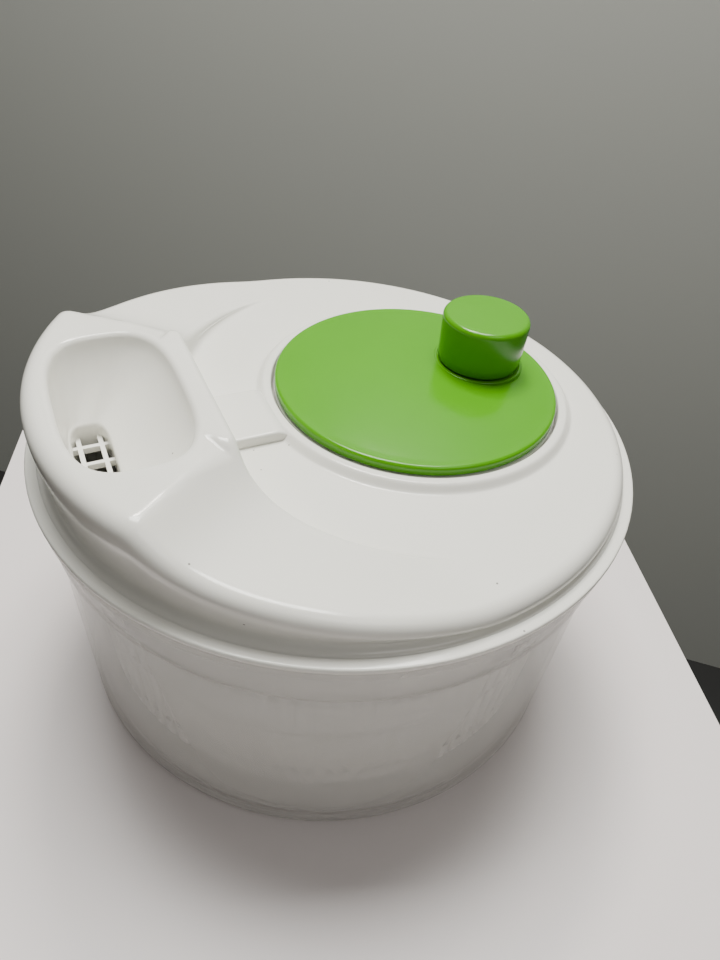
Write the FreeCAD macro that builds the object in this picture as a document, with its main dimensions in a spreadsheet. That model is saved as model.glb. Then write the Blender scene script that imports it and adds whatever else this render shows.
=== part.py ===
"""A hand-cranked salad spinner, built as the real one comes apart on a bench.

A translucent bowl carries a slotted basket on a moulded pin. The lid is two shells: the white top
shell with its raised pouring funnel and round well, and the tray under it with the brim. A crank
disc in the well has an internal ring gear under it, which turns a small pinion on the lid's axis.
The pinion's stem turns a four-armed driver, and the driver's arms drop into notches in the
basket's collar.

Millimetres, +Z up. The origin is on the bowl's axis at the surface it stands on. +X points from
the lid's axis to the crank disc's axis, and the funnel is on the -X side.
"""

import FreeCAD, Part

import math
import os

import Sketcher

Vector = FreeCAD.Vector
UP = Vector(0, 0, 1)
FUNNEL_SIDES = 20
FLOOR_SLOT_SPANS = ((0.26, 0.52), (0.60, 0.88))

# Driving dimensions. Each alias is a cell of the spreadsheet, in millimetres or a plain count.
# A "drop" or a "rise" is measured from the bowl's rim unless the name says otherwise.
SIZES = {
    # bowl
    "bowl_top_radius": 120.0,
    "bowl_draft": 2.6,
    "bowl_height": 123.0,
    "bowl_wall": 1.8,
    "bowl_floor": 2.2,
    "foot_height": 2.4,
    "foot_width": 5.0,
    "foot_band_height": 4.0,
    "foot_band_proud": 0.5,
    "bowl_flange_out": 4.2,
    "bowl_flange_thick": 1.8,
    "bowl_lip_drop": 4.5,
    "bowl_step": 1.5,
    "bowl_step_drop": 23.0,
    "pivot_cone_radius": 13.0,
    "pivot_cone_top": 11.0,
    "pivot_shoulder_radius": 6.5,
    "pivot_pin_radius": 3.0,
    "pivot_pin_top": 24.0,
    # basket and its bearing
    "running_gap": 0.08,
    "bearing_lift": 0.2,
    "bearing_end_gap": 0.1,
    "bearing_flats_radius": 6.8,
    "bearing_cap": 2.6,
    "socket_gap": 0.3,
    "socket_end_gap": 0.2,
    "basket_floor_height": 12.0,
    "basket_floor": 2.0,
    "basket_wall": 1.6,
    "basket_base_gap": 9.6,
    "basket_rim_gap": 5.0,
    "basket_rim_out": 2.7,
    "basket_rim_drop": 18.0,
    "basket_rim_thick": 2.0,
    "basket_collar_height": 4.0,
    "basket_hub_radius": 11.0,
    "basket_notches": 12,
    "slot_count": 72,
    "slot_rows": 3,
    "slot_width": 4.0,
    "slot_gap": 5.0,
    "slot_foot_margin": 3.0,
    "slot_rim_margin": 24.0,
    "floor_slot_count": 24,
    # lid tray
    "brim_out": 0.8,
    "brim_thick": 2.2,
    "tray_drop": 8.0,
    "tray_floor": 2.0,
    "tray_wall": 2.0,
    "spigot_gap": 0.6,
    # lid shell
    "lid_wall": 2.2,
    "lid_edge_inset": 5.5,
    "lid_rise": 12.6,
    "funnel_rise": 34.5,
    "flank_run": 30.0,
    "funnel_wall_x": 52.0,
    "wall_lean": 3.5,
    "platform_radius": 101.0,
    "rise_per_length": 0.143,
    "well_rise": 2.5,
    "well_floor": 2.0,
    "well_gap": 1.4,
    "well_wall": 2.2,
    "collar_rise": 1.8,
    "collar_flat": 2.6,
    "collar_slope": 4.5,
    "bridge_width": 31.0,
    "bridge_rise": 4.6,
    "drain_inset": 11.7,
    "drain_half_length": 10.6,
    "drain_half_width": 26.0,
    "drain_corner": 5.0,
    "funnel_floor_rise": 8.0,
    "funnel_half_width": 42.0,
    "funnel_edge_inset": 8.5,
    "funnel_wall_margin": 12.0,
    "grid_lift": 5.5,
    "grid_depth": 2.6,
    "grid_bar": 1.8,
    "grid_frame": 1.2,
    "grid_pitch_x": 8.3,
    "grid_pitch_y": 10.6,
    "grid_bars_x": 2,
    "grid_bars_y": 4,
    "lid_screw_inset": 12.5,
    "lid_screw_boss": 4.0,
    "lid_screw_radius": 1.6,
    "lid_screw_head_radius": 3.2,
    "lid_screw_head_height": 1.4,
    "lid_screw_grip": 3.5,
    "screw_hole_spare": 0.5,
    # gear train
    "gear_module": 1.5,
    "ring_teeth": 68,
    "pinion_teeth": 20,
    "backlash": 0.24,
    "tooth_height": 6.0,
    "pinion_lift": 0.9,
    "spindle_radius": 5.0,
    "spindle_end_gap": 0.2,
    "spindle_seat": 1.6,
    "bush_wall": 2.0,
    "bush_flange": 3.0,
    "bush_flange_thick": 0.8,
    "bush_drop": 3.5,
    "spindle_square": 6.8,
    # crank disc and knob
    "disc_overhang": 4.0,
    "disc_lift": 14.9,
    "disc_edge_height": 4.0,
    "disc_edge_wall": 1.8,
    "disc_rise": 3.4,
    "disc_hollow_drop": 0.2,
    "disc_pad_drop": 2.4,
    "disc_pad_width": 8.0,
    "crank_journal_radius": 4.9,
    "journal_drop": 4.4,
    "journal_shoulder": 3.0,
    "journal_end_gap": 0.15,
    "ring_rim": 4.125,
    "ring_flange_drop": 6.4,
    "ring_flange_thick": 1.6,
    "ring_flange_out": 0.3,
    "ring_screw_inset": 1.9,
    "ring_screw_radius": 0.9,
    "ring_screw_head_radius": 1.6,
    "ring_screw_head_height": 1.3,
    "ring_screw_sink": 0.3,
    "ring_screw_grip": 1.4,
    "knob_throw": 31.0,
    "knob_radius": 18.2,
    "knob_flare": 0.7,
    "knob_height": 22.0,
    "knob_wall": 2.2,
    "knob_ring_radius": 19.8,
    "knob_pad_rise": 3.4,
    "knob_gap": 0.4,
    "knob_journal_radius": 4.5,
    "knob_bore_radius": 1.5,
    # driver and fasteners
    "driver_arm_width": 8.0,
    "driver_arm_height": 4.0,
    "driver_arm_inset": 0.6,
    "driver_hub_radius": 12.0,
    "driver_gap": 0.5,
    "washer_thick": 0.8,
    "washer_gap": 0.1,
    "screw_radius": 1.5,
    "screw_head_radius": 4.0,
    "screw_head_height": 1.8,
    "knob_screw_head_radius": 3.4,
    "knob_screw_head_height": 1.5,
    "spindle_screw_grip": 2.5,
    "crank_screw_grip": 6.0,
    "knob_screw_grip": 11.0,
}

# Places and sizes that follow from the driving ones, as formulas in the same sheet.
FOLLOWING = {
    "bowl_base_radius": "bowl_top_radius - bowl_draft",
    "bowl_mouth_radius": "bowl_top_radius + bowl_step - bowl_wall",
    "bowl_flange_radius": "bowl_top_radius + bowl_flange_out",
    "bowl_step_height": "bowl_height - bowl_step_drop",
    "bearing_low": "pivot_cone_top + bearing_lift",
    "bearing_ceiling": "pivot_pin_top + bearing_end_gap",
    "basket_base_radius": "bowl_base_radius - bowl_wall - basket_base_gap",
    "basket_rim_radius": "bowl_top_radius - bowl_wall - basket_rim_gap",
    "basket_top_radius": "basket_rim_radius - basket_rim_out",
    "basket_rim_height": "bowl_height - basket_rim_drop",
    "slot_lowest": "basket_floor_height + basket_floor + slot_foot_margin",
    "slot_highest": "basket_rim_height - slot_rim_margin",
    "brim_radius": "bowl_flange_radius + brim_out",
    "brim_top": "bowl_height + brim_thick",
    "tray_floor_height": "bowl_height - tray_drop",
    "tray_top": "tray_floor_height + tray_floor",
    "spigot_radius": "bowl_mouth_radius - spigot_gap",
    "lid_edge_radius": "brim_radius - lid_edge_inset",
    "lid_top": "bowl_height + lid_rise",
    "collar_top": "lid_top + collar_rise",
    "funnel_top": "bowl_height + funnel_rise",
    "funnel_floor_height": "bowl_height + funnel_floor_rise",
    "funnel_outer_x": "lid_edge_radius - funnel_edge_inset",
    "funnel_inner_x": "funnel_wall_x + funnel_wall_margin",
    "drain_x": "funnel_outer_x - drain_inset",
    "grid_height": "tray_top + grid_lift",
    "lid_screw_circle": "lid_edge_radius - lid_screw_inset",
    "well_floor_height": "bowl_height + well_rise",
    "well_top": "well_floor_height + well_floor",
    "crank_offset": "gear_module * (ring_teeth - pinion_teeth) / 2",
    "gear_low": "well_top + pinion_lift",
    "ring_outer_radius": "gear_module * (ring_teeth / 2 + 1.25) + ring_rim",
    "ring_screw_circle": "ring_outer_radius - ring_screw_inset",
    "disc_radius": "ring_outer_radius + disc_overhang",
    "well_radius": "disc_radius + well_gap",
    "disc_edge_top": "well_floor_height + disc_lift",
    "disc_underside": "disc_edge_top - disc_hollow_drop",
    "disc_pad_height": "disc_edge_top - disc_pad_drop",
    "ring_flange_height": "disc_edge_top - ring_flange_drop",
    "journal_low": "well_floor_height - journal_drop",
    "knob_pad_height": "disc_edge_top + knob_pad_rise",
    "knob_offset": "crank_offset + knob_throw",
    "knob_journal_low": "disc_underside - washer_gap",
    "bush_radius": "spindle_radius + bush_wall",
    "crank_bush_radius": "crank_journal_radius + bush_wall + 0.1",
    "driver_low": "basket_rim_height + driver_gap",
    "driver_hub_top": "tray_floor_height - washer_thick - spindle_end_gap",
    "spindle_washer_low": "tray_floor_height - washer_thick - washer_gap",
    "crank_washer_low": "journal_low - washer_thick",
    "knob_washer_low": "knob_journal_low - washer_thick",
}

document = FreeCAD.newDocument("salad_spinner")
sheet = document.addObject("Spreadsheet::Sheet", "Sizes")
CELLS = {**SIZES, **{alias: f"={formula}" for alias, formula in FOLLOWING.items()}}
for row, (alias, content) in enumerate(CELLS.items(), start=1):
    sheet.set(f"A{row}", alias)
    sheet.setAlias(f"B{row}", alias)
    sheet.set(f"B{row}", str(content))
document.recompute()


def size(alias):
    """A driving dimension, read from the spreadsheet."""
    return float(sheet.get(alias))


def bound(text):
    """An expression with each driving dimension read from the sheet."""
    words, word = [], ""
    for letter in text + " ":
        if letter.isalnum() or letter == "_":
            word += letter
            continue
        words.append(f"Sizes.{word}" if word in CELLS else word)
        words.append(letter)
        word = ""
    return "".join(words).strip()


def plane(body, role):
    """One of a body's own origin planes or axes."""
    return next(f for f in body.Origin.OriginFeatures if f.Role == role)


def new_body(label):
    body = document.addObject("PartDesign::Body", label)
    body.Label = label
    return body


def profile(body, name, corners, on="XZ_Plane"):
    """A closed sketch of straight lines whose every corner is held by expressions.

    Each corner is (across, up), two texts. "0" puts the corner on that axis of the sketch.
    """
    sketch = body.newObject("Sketcher::SketchObject", name)
    sketch.AttachmentSupport = (plane(body, on), "")
    sketch.MapMode = "FlatFace"
    count = len(corners)
    spots = [Vector(10 + 3 * k, 10 + 5 * k * (k % 2) + k, 0) for k in range(count)]
    for k in range(count):
        sketch.addGeometry(Part.LineSegment(spots[k], spots[(k + 1) % count]), False)
    for k in range(count):
        sketch.addConstraint(Sketcher.Constraint("Coincident", k, 2, (k + 1) % count, 1))
    for k, (across, up) in enumerate(corners):
        for kind, text, axis in (("DistanceX", across, -2), ("DistanceY", up, -1)):
            if text == "0":
                sketch.addConstraint(Sketcher.Constraint("PointOnObject", k, 1, axis))
                continue
            start = spots[k].x if kind == "DistanceX" else spots[k].y
            held = sketch.addConstraint(Sketcher.Constraint(kind, -1, 1, k, 1, start))
            sketch.setExpression(f"Constraints[{held}]", bound(text))
    return sketch


def turned(label, corners):
    """A body turned about its own Z axis from a sketch in its XZ plane."""
    body = new_body(label)
    sketch = profile(body, f"{label}_profile", corners)
    turn = body.newObject("PartDesign::Revolution", f"{label}_turn")
    turn.Profile = sketch
    turn.ReferenceAxis = (sketch, ["V_Axis"])
    turn.Angle = 360.0
    sketch.Visibility = False
    return body


def bored(body, name, corners, across, up="0"):
    """Cuts a turned shape whose axis stands at (across, up) of the body's XY plane."""
    centre_x, centre_y = across, up
    radius, length, start = corners
    sketch = body.newObject("Sketcher::SketchObject", name)
    sketch.AttachmentSupport = (plane(body, "XY_Plane"), "")
    sketch.MapMode = "FlatFace"
    sketch.setExpression("AttachmentOffset.Base.z", bound(start))
    ring = Part.Circle(Vector(20, 20, 0), UP, 3)
    sketch.addGeometry(ring, False)
    for kind, text, axis in (("DistanceX", centre_x, -2), ("DistanceY", centre_y, -1)):
        if text == "0":
            sketch.addConstraint(Sketcher.Constraint("PointOnObject", 0, 3, axis))
            continue
        held = sketch.addConstraint(Sketcher.Constraint(kind, -1, 1, 0, 3, 20))
        sketch.setExpression(f"Constraints[{held}]", bound(text))
    held = sketch.addConstraint(Sketcher.Constraint("Radius", 0, 3))
    sketch.setExpression(f"Constraints[{held}]", bound(radius))
    document.recompute()
    before = body.Shape.Volume
    pocket = body.newObject("PartDesign::Pocket", f"{name}_cut")
    pocket.Profile = sketch
    pocket.Reversed = True
    pocket.setExpression("Length", bound(length))
    document.recompute()
    if body.Shape.Volume > before - 0.1:
        raise RuntimeError(f"{name} cuts nothing from {body.Label}")
    return pocket


def rounded(body, name, radius, spots):
    """Fillets the round edges that lie at the given (radius, height) spots of a turned body."""
    document.recompute()
    base = body.Tip
    found = []
    for k, edge in enumerate(base.Shape.Edges, start=1):
        curve = edge.Curve
        if not isinstance(curve, Part.Circle):
            continue
        for across, up in spots:
            if abs(curve.Radius - across) < 0.02 and abs(curve.Center.z - up) < 0.02:
                found.append(f"Edge{k}")
    fillet = body.newObject("PartDesign::Fillet", name)
    fillet.Base = (base, found)
    fillet.Radius = radius
    document.recompute()
    return fillet


def placed(part, across="0", up="0"):
    """Moves a finished part, its place bound to the sheet."""
    if across != "0":
        part.setExpression(".Placement.Base.x", bound(across))
    if up != "0":
        part.setExpression(".Placement.Base.z", bound(up))
    return part


def feature(label, shape):
    """A Part::Feature for a shape that neither a body nor a primitive fits."""
    made = document.addObject("Part::Feature", label)
    made.Label = label
    made.Shape = shape
    return made


def cylinder(radius, low, high, across=0.0, side=0.0):
    return Part.makeCylinder(radius, high - low, Vector(across, side, low), UP)


def turned_shape(corners, across=0.0):
    """A solid turned from (radius, height) corners about the vertical line at x = across."""
    points = [Vector(across + radius, 0, height) for radius, height in corners]
    face = Part.Face(Part.makePolygon(points + points[:1]))
    return face.revolve(Vector(across, 0, 0), UP, 360)


def lid_screw_places():
    """Where the screws between the lid's two shells stand, evenly round the lid."""
    reach = size("lid_screw_circle")
    turns = [math.radians(30 + 60 * k) for k in range(6)]
    return [(reach * math.cos(turn), reach * math.sin(turn)) for turn in turns]


def joined(shapes):
    return shapes[0].fuse(shapes[1:]) if len(shapes) > 1 else shapes[0]


# Followed sizes that several makers read as numbers.
crank_offset = size("crank_offset")
brim_top = size("brim_top")
well_radius = size("well_radius")
well_top = size("well_top")
tray_top = size("tray_top")
gear_low = size("gear_low")
collar_top = size("collar_top")
driver_low = size("driver_low")
ring_screw_circle = size("ring_screw_circle")


# ---------------------------------------------------------------- bowl, basket and bearing

def make_bowl():
    """The translucent outer bowl, with its foot, its rolled rim and the pin in the middle."""
    body = turned("bowl", [
        ("0", "pivot_cone_top - bowl_floor"),
        ("pivot_shoulder_radius - bowl_floor", "pivot_cone_top - bowl_floor"),
        ("pivot_cone_radius - bowl_floor", "foot_height"),
        ("bowl_base_radius - foot_width", "foot_height"),
        ("bowl_base_radius - foot_width + 1", "0"),
        ("bowl_base_radius + foot_band_proud - 1.2", "0"),
        ("bowl_base_radius + foot_band_proud", "1.2"),
        ("bowl_base_radius + foot_band_proud", "foot_band_height"),
        ("bowl_base_radius", "foot_band_height + foot_band_proud"),
        ("bowl_top_radius", "bowl_step_height"),
        ("bowl_top_radius + bowl_step", "bowl_step_height + bowl_step"),
        ("bowl_top_radius + bowl_step", "bowl_height - bowl_flange_thick"),
        ("bowl_flange_radius - bowl_wall", "bowl_height - bowl_flange_thick"),
        ("bowl_flange_radius - bowl_wall", "bowl_height - bowl_lip_drop"),
        ("bowl_flange_radius", "bowl_height - bowl_lip_drop"),
        ("bowl_flange_radius", "bowl_height"),
        ("bowl_mouth_radius", "bowl_height"),
        ("bowl_mouth_radius", "bowl_step_height + bowl_step"),
        ("bowl_top_radius - bowl_wall", "bowl_step_height"),
        ("bowl_base_radius - bowl_wall", "foot_height + bowl_floor + 5"),
        ("bowl_base_radius - bowl_wall - 5", "foot_height + bowl_floor"),
        ("pivot_cone_radius", "foot_height + bowl_floor"),
        ("pivot_shoulder_radius", "pivot_cone_top"),
        ("pivot_pin_radius", "pivot_cone_top"),
        ("pivot_pin_radius", "pivot_pin_top - 0.8"),
        ("pivot_pin_radius - 0.8", "pivot_pin_top"),
        ("0", "pivot_pin_top"),
    ])
    return body


def hexagon(radius, low, high):
    """A six-sided prism about the lid's axis, radius to its corners."""
    corners = [
        Vector(radius * math.cos(k * math.pi / 3), radius * math.sin(k * math.pi / 3), low)
        for k in range(7)
    ]
    return Part.Face(Part.makePolygon(corners)).extrude(Vector(0, 0, high - low))


def make_basket_bearing():
    """The hexagonal cap that turns on the bowl's pin and carries the basket's hub."""
    low = size("bearing_low")
    ceiling = size("bearing_ceiling")
    cap = hexagon(size("bearing_flats_radius"), low, ceiling + size("bearing_cap"))
    bore = cylinder(size("pivot_pin_radius") + size("running_gap"), low - 1, ceiling)
    return feature("basket_bearing", cap.cut(bore))


def make_basket():
    """The slotted basket, its castellated collar and the hub that sits on the bearing."""
    low = size("basket_floor_height")
    floor_top = low + size("basket_floor")
    wall = size("basket_wall")
    rim = size("basket_rim_height")
    rim_low = rim - size("basket_rim_thick")
    collar_radius = size("basket_top_radius")
    blank = turned_shape([
        (0, low),
        (size("basket_base_radius") - 3, low),
        (size("basket_base_radius"), low + 3),
        (collar_radius, rim_low),
        (size("basket_rim_radius"), rim_low),
        (size("basket_rim_radius"), rim),
        (collar_radius, rim),
        (collar_radius, rim + size("basket_collar_height")),
        (collar_radius - wall, rim + size("basket_collar_height")),
        (collar_radius - wall, rim_low),
        (size("basket_base_radius") - wall, low + 4),
        (size("basket_base_radius") - wall - 2.5, floor_top),
        (0, floor_top),
    ])
    socket_top = size("bearing_ceiling") + size("bearing_cap") + size("socket_end_gap")
    hub = cylinder(size("basket_hub_radius"), low, socket_top + size("basket_floor"))
    socket = hexagon(size("bearing_flats_radius") + size("socket_gap"), low - 1, socket_top)

    cutters = [socket]
    rows = int(size("slot_rows"))
    span = size("slot_highest") - size("slot_lowest")
    tall = (span - (rows - 1) * size("slot_gap")) / rows
    reach = size("basket_rim_radius") + 2
    count = int(size("slot_count"))
    for row in range(rows):
        bottom = size("slot_lowest") + row * (tall + size("slot_gap"))
        for k in range(count):
            slot = Part.makeBox(
                reach * 0.2, size("slot_width"), tall,
                Vector(reach * 0.85, -size("slot_width") / 2, bottom),
            )
            slot.rotate(Vector(0, 0, 0), UP, (k + 0.5 * (row % 2)) * 360.0 / count)
            cutters.append(slot)
    for k in range(int(size("floor_slot_count"))):
        for start, end in FLOOR_SLOT_SPANS:
            radius = size("basket_base_radius")
            slot = Part.makeBox(
                radius * (end - start), size("slot_width"), size("basket_floor") + 2,
                Vector(radius * start, -size("slot_width") / 2, low - 1),
            )
            slot.rotate(Vector(0, 0, 0), UP, k * 360.0 / size("floor_slot_count"))
            cutters.append(slot)
    notch_width = size("driver_arm_width") + 2 * size("driver_gap")
    for k in range(int(size("basket_notches"))):
        notch = Part.makeBox(
            8, notch_width, size("basket_collar_height") + 2,
            Vector(collar_radius - 5, -notch_width / 2, rim),
        )
        notch.rotate(Vector(0, 0, 0), UP, k * 360.0 / size("basket_notches"))
        cutters.append(notch)
    return feature("basket", blank.fuse(hub).cut(Part.makeCompound(cutters)))


# ---------------------------------------------------------------- lid shell and tray

def rounded_outline(middle_x, half_x, half_y, power):
    """Corners round a rounded rectangle, as (x, y) pairs. A larger power has tighter corners."""
    points = []
    for k in range(FUNNEL_SIDES):
        turn = 2 * math.pi * (k + 0.5) / FUNNEL_SIDES
        across, side = math.cos(turn), math.sin(turn)
        square = (abs(across) ** power + abs(side) ** power) ** (-1 / power)
        points.append((middle_x + half_x * across * square, half_y * side * square))
    return points


def funnel_outline(height, spread, drain_share):
    """A closed outline of the funnel's section: its mouth at drain_share 0, the drain at 1."""
    outer, inner = size("funnel_outer_x"), size("funnel_inner_x")
    mouth = rounded_outline(
        -(outer + inner) / 2, (outer - inner) / 2 + spread, size("funnel_half_width") + spread, 3.2)
    drain = rounded_outline(
        -size("drain_x"), size("drain_half_length") + spread, size("drain_half_width") + spread, 4.0)
    points = [
        Vector(m[0] + (d[0] - m[0]) * drain_share, m[1] + (d[1] - m[1]) * drain_share, height)
        for m, d in zip(mouth, drain)
    ]
    return Part.makePolygon(points + points[:1])


def drain_prism(spread, low, high):
    """An upright prism of the drain's outline, grown by spread."""
    return Part.Face(funnel_outline(low, spread, 1.0)).extrude(Vector(0, 0, high - low))


def funnel_body(spread, rise):
    """The funnel from its mouth down to the drain, grown by spread, and the drain's neck."""
    top, low = size("funnel_top"), size("funnel_floor_height")
    depth = top - low
    sections = [
        funnel_outline(top + rise, spread, 0.0),
        funnel_outline(top - 0.45 * depth, spread, 0.4),
        funnel_outline(low - 0.5, spread, 1.0),
    ]
    bowl = Part.makeLoft(sections, True, True)
    return bowl, drain_prism(spread, tray_top, low + 2)


def flank(side, drop):
    """All that lies under the funnel's level and its hollow flank, for side +1 or -1."""
    top, base = size("funnel_top") - drop, size("lid_top") - 6 - drop
    edge = size("lid_edge_radius")
    corner = Vector(-0.819 * edge, 0.574 * edge * side, 0)
    inner = Vector(-size("funnel_wall_x") - 3.5, 36 * side, 0)
    along = (inner - corner).normalize()
    across = Vector(-along.y, along.x, 0) * side
    start = corner - along * 120
    low = size("well_floor_height") - 20
    fall = [(0, 1.0), (0.25, 0.62), (0.55, 0.4), (1.0, 0.26), (1.6, 0.18), (6.0, 0.0)]
    section = [(run * size("flank_run"), base + (top - base) * share) for run, share in fall]
    section += [(section[-1][0], low), (-260, low), (-260, top)]
    points = [
        Vector(start.x + across.x * run, start.y + across.y * run, height)
        for run, height in section
    ]
    return Part.Face(Part.makePolygon(points + points[:1])).extrude(along * 420)


def raised_part(drop, edge_radius, inset):
    """The funnel housing, its flanks and the rising lid beside it, up to the wall round the disc."""
    slab = flank(1, drop).common(flank(-1, drop))
    low, far = brim_top, size("brim_radius") * 1.3
    lid_top = size("lid_top") - drop
    wedge_points = [
        (8, low), (8, lid_top), (-far, lid_top + size("rise_per_length") * (far + 8)), (-far, low),
    ]
    wedge = Part.Face(Part.makePolygon(
        [Vector(x, -far, z) for x, z in wedge_points + wedge_points[:1]]
    )).extrude(Vector(0, 2 * far, 0))
    wall_x = -size("funnel_wall_x") - size("wall_lean") - inset
    platform = cylinder(size("platform_radius") + inset, low - 1, 220, crank_offset).common(
        Part.makeBox(2 * far, 2 * far, 220, Vector(wall_x, -far, 0)))
    whole = slab.fuse(wedge).common(cylinder(edge_radius, low, 200))
    return whole.cut(platform)


def make_lid_shell():
    """The white top shell: round lid, funnel housing, bridge, well and screw bosses."""
    wall = size("lid_wall")
    edge = size("lid_edge_radius")
    top = size("lid_top")
    outside = turned_shape([
        (0, top),
        (edge - 5, top - 0.2),
        (edge - 1.4, top - 1.6),
        (edge, top - 4.4),
        (edge - 0.8, top - 7),
        (edge - 1.8, brim_top + 1.6),
        (edge - 1.4, brim_top + 0.6),
        (edge + 0.3, brim_top),
        (0, brim_top),
    ])
    inside = turned_shape([
        (0, top - wall),
        (edge - 6, top - wall - 0.2),
        (edge - 3.4, top - 4.4),
        (edge - 4, brim_top),
        (edge - 4, brim_top - 1),
        (0, brim_top - 1),
    ])
    raised = raised_part(0, edge - 0.6, 0)
    raised_skin = raised_part(wall, edge - 0.6 - 1.7 * wall, wall)

    collar_low = well_radius + size("collar_flat") + size("collar_slope")
    collar = turned_shape([
        (0, top - 1),
        (collar_low, top - 1),
        (collar_low, top),
        (well_radius + size("collar_flat"), collar_top),
        (0, collar_top),
    ], crank_offset)
    wall_x = -size("funnel_wall_x")
    near_disc = crank_offset - well_radius
    bridge_points = [
        (wall_x - 1, top - 1), (wall_x - 1, top + size("bridge_rise")),
        (near_disc - 3, collar_top + 0.8), (near_disc + 4, collar_top), (near_disc + 4, top - 1),
    ]
    bridge_face = Part.Face(Part.makePolygon(
        [Vector(x, -size("bridge_width") / 2, z) for x, z in bridge_points + bridge_points[:1]]
    ))
    bridge = bridge_face.extrude(Vector(0, size("bridge_width"), 0))

    outer = joined([outside, raised, collar, bridge])
    funnel_outer, neck_outer = funnel_body(wall, 0)
    funnel_inner, neck_inner = funnel_body(0, 0.5)
    well = cylinder(well_radius + size("well_wall"), size("well_floor_height"), collar_top, crank_offset)
    crank_bush_radius = size("crank_bush_radius")
    crank_boss = cylinder(
        crank_bush_radius + size("bush_wall") + 0.5, size("well_floor_height") - size("bush_drop"),
        well_top, crank_offset)
    shell = outer.cut(inside).cut(raised_skin)
    bosses = []
    for x, y in lid_screw_places():
        column = cylinder(size("lid_screw_boss"), brim_top + 1, 200, x, y).common(outer)
        foot = cylinder(size("lid_screw_boss"), tray_top, brim_top + 2, x, y)
        bosses.append(column.fuse(foot))
    shell = shell.fuse([funnel_outer, neck_outer, well, crank_boss] + bosses)
    cuts = [
        funnel_inner, neck_inner, drain_prism(0, tray_top - 1, brim_top),
        cylinder(well_radius, well_top, 200, crank_offset),
        cylinder(crank_bush_radius, brim_top - 9, well_top + 1, crank_offset),
        cylinder(size("bush_radius"), brim_top - 9, well_top + 1),
    ]
    for x, y in lid_screw_places():
        tip = brim_top + size("lid_screw_grip") + size("screw_hole_spare")
        cuts.append(cylinder(size("lid_screw_radius"), tray_top - 1, tip, x, y))
    for cutter in cuts:
        shell = shell.cut(cutter)
    return feature("lid_shell", shell.removeSplitter())


def drain_hole(body):
    """Cuts the drain's opening, a rectangle with its corners cut off, through the tray's floor."""
    outer, inner = "-drain_x - drain_half_length", "-drain_x + drain_half_length"
    reach = "drain_half_width"
    sketch = profile(body, "drain_hole", [
        (outer, f"drain_corner - {reach}"), (f"{outer} + drain_corner", f"-{reach}"),
        (f"{inner} - drain_corner", f"-{reach}"), (inner, f"drain_corner - {reach}"),
        (inner, f"{reach} - drain_corner"), (f"{inner} - drain_corner", reach),
        (f"{outer} + drain_corner", reach), (outer, f"{reach} - drain_corner"),
    ], "XY_Plane")
    sketch.setExpression("AttachmentOffset.Base.z", bound("tray_floor_height - 1"))
    document.recompute()
    before = body.Shape.Volume
    pocket = body.newObject("PartDesign::Pocket", "drain_hole_cut")
    pocket.Profile = sketch
    pocket.Reversed = True
    pocket.setExpression("Length", bound("tray_floor + 2"))
    document.recompute()
    if body.Shape.Volume > before - 0.1:
        raise RuntimeError("the drain's hole cuts nothing from the tray")


def make_lid_tray():
    """The lower shell of the lid: brim, spigot that centres in the bowl, floor and holes."""
    body = turned("lid_tray", [
        ("0", "tray_floor_height"),
        ("spigot_radius - 1", "tray_floor_height"),
        ("spigot_radius", "tray_floor_height + 1"),
        ("spigot_radius", "bowl_height"),
        ("brim_radius", "bowl_height"),
        ("brim_radius", "bowl_height + brim_thick - 0.5"),
        ("brim_radius - 0.5", "bowl_height + brim_thick"),
        ("spigot_radius - tray_wall", "bowl_height + brim_thick"),
        ("spigot_radius - tray_wall", "tray_floor_height + tray_floor"),
        ("0", "tray_floor_height + tray_floor"),
    ])
    through = ("tray_floor + 2", "tray_floor_height - 1")
    bored(body, "spindle_hole", ("bush_radius", *through), "0")
    drain_hole(body)
    for k in range(6):
        turn = 30 + 60 * k
        across = f"lid_screw_circle * cos({turn} deg)"
        side = "0" if turn % 180 == 0 else f"lid_screw_circle * sin({turn} deg)"
        across = "0" if turn % 180 == 90 else across
        bored(body, f"lid_screw_hole_{k + 1}", ("lid_screw_radius", *through), across, side)
    return body


def screw(radius, head_radius, head_height, low, tip, across=0.0, side=0.0):
    """A pan-head screw pointing up: head from low, shank up to tip, with a cross recess."""
    head = cylinder(head_radius, low, low + head_height, across, side)
    shank = cylinder(radius, low + head_height, tip, across, side)
    slots = []
    for turn in (0, 90):
        slot = Part.makeBox(
            head_radius * 1.1, head_radius * 0.22, head_height * 0.5,
            Vector(across - head_radius * 0.55, side - head_radius * 0.11, low),
        )
        slot.rotate(Vector(across, side, 0), UP, turn)
        slots.append(slot)
    return head.fuse(shank).cut(slots[0]).cut(slots[1])


def make_lid_screws():
    """Six screws from below that hold the tray to the shell."""
    screws = []
    for x, y in lid_screw_places():
        head = size("lid_screw_head_height")
        screws.append(screw(
            size("lid_screw_radius"), size("lid_screw_head_radius"), head,
            size("tray_floor_height") - head, brim_top + size("lid_screw_grip"), x, y,
        ))
    return feature("lid_screws", Part.makeCompound(screws))


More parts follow.
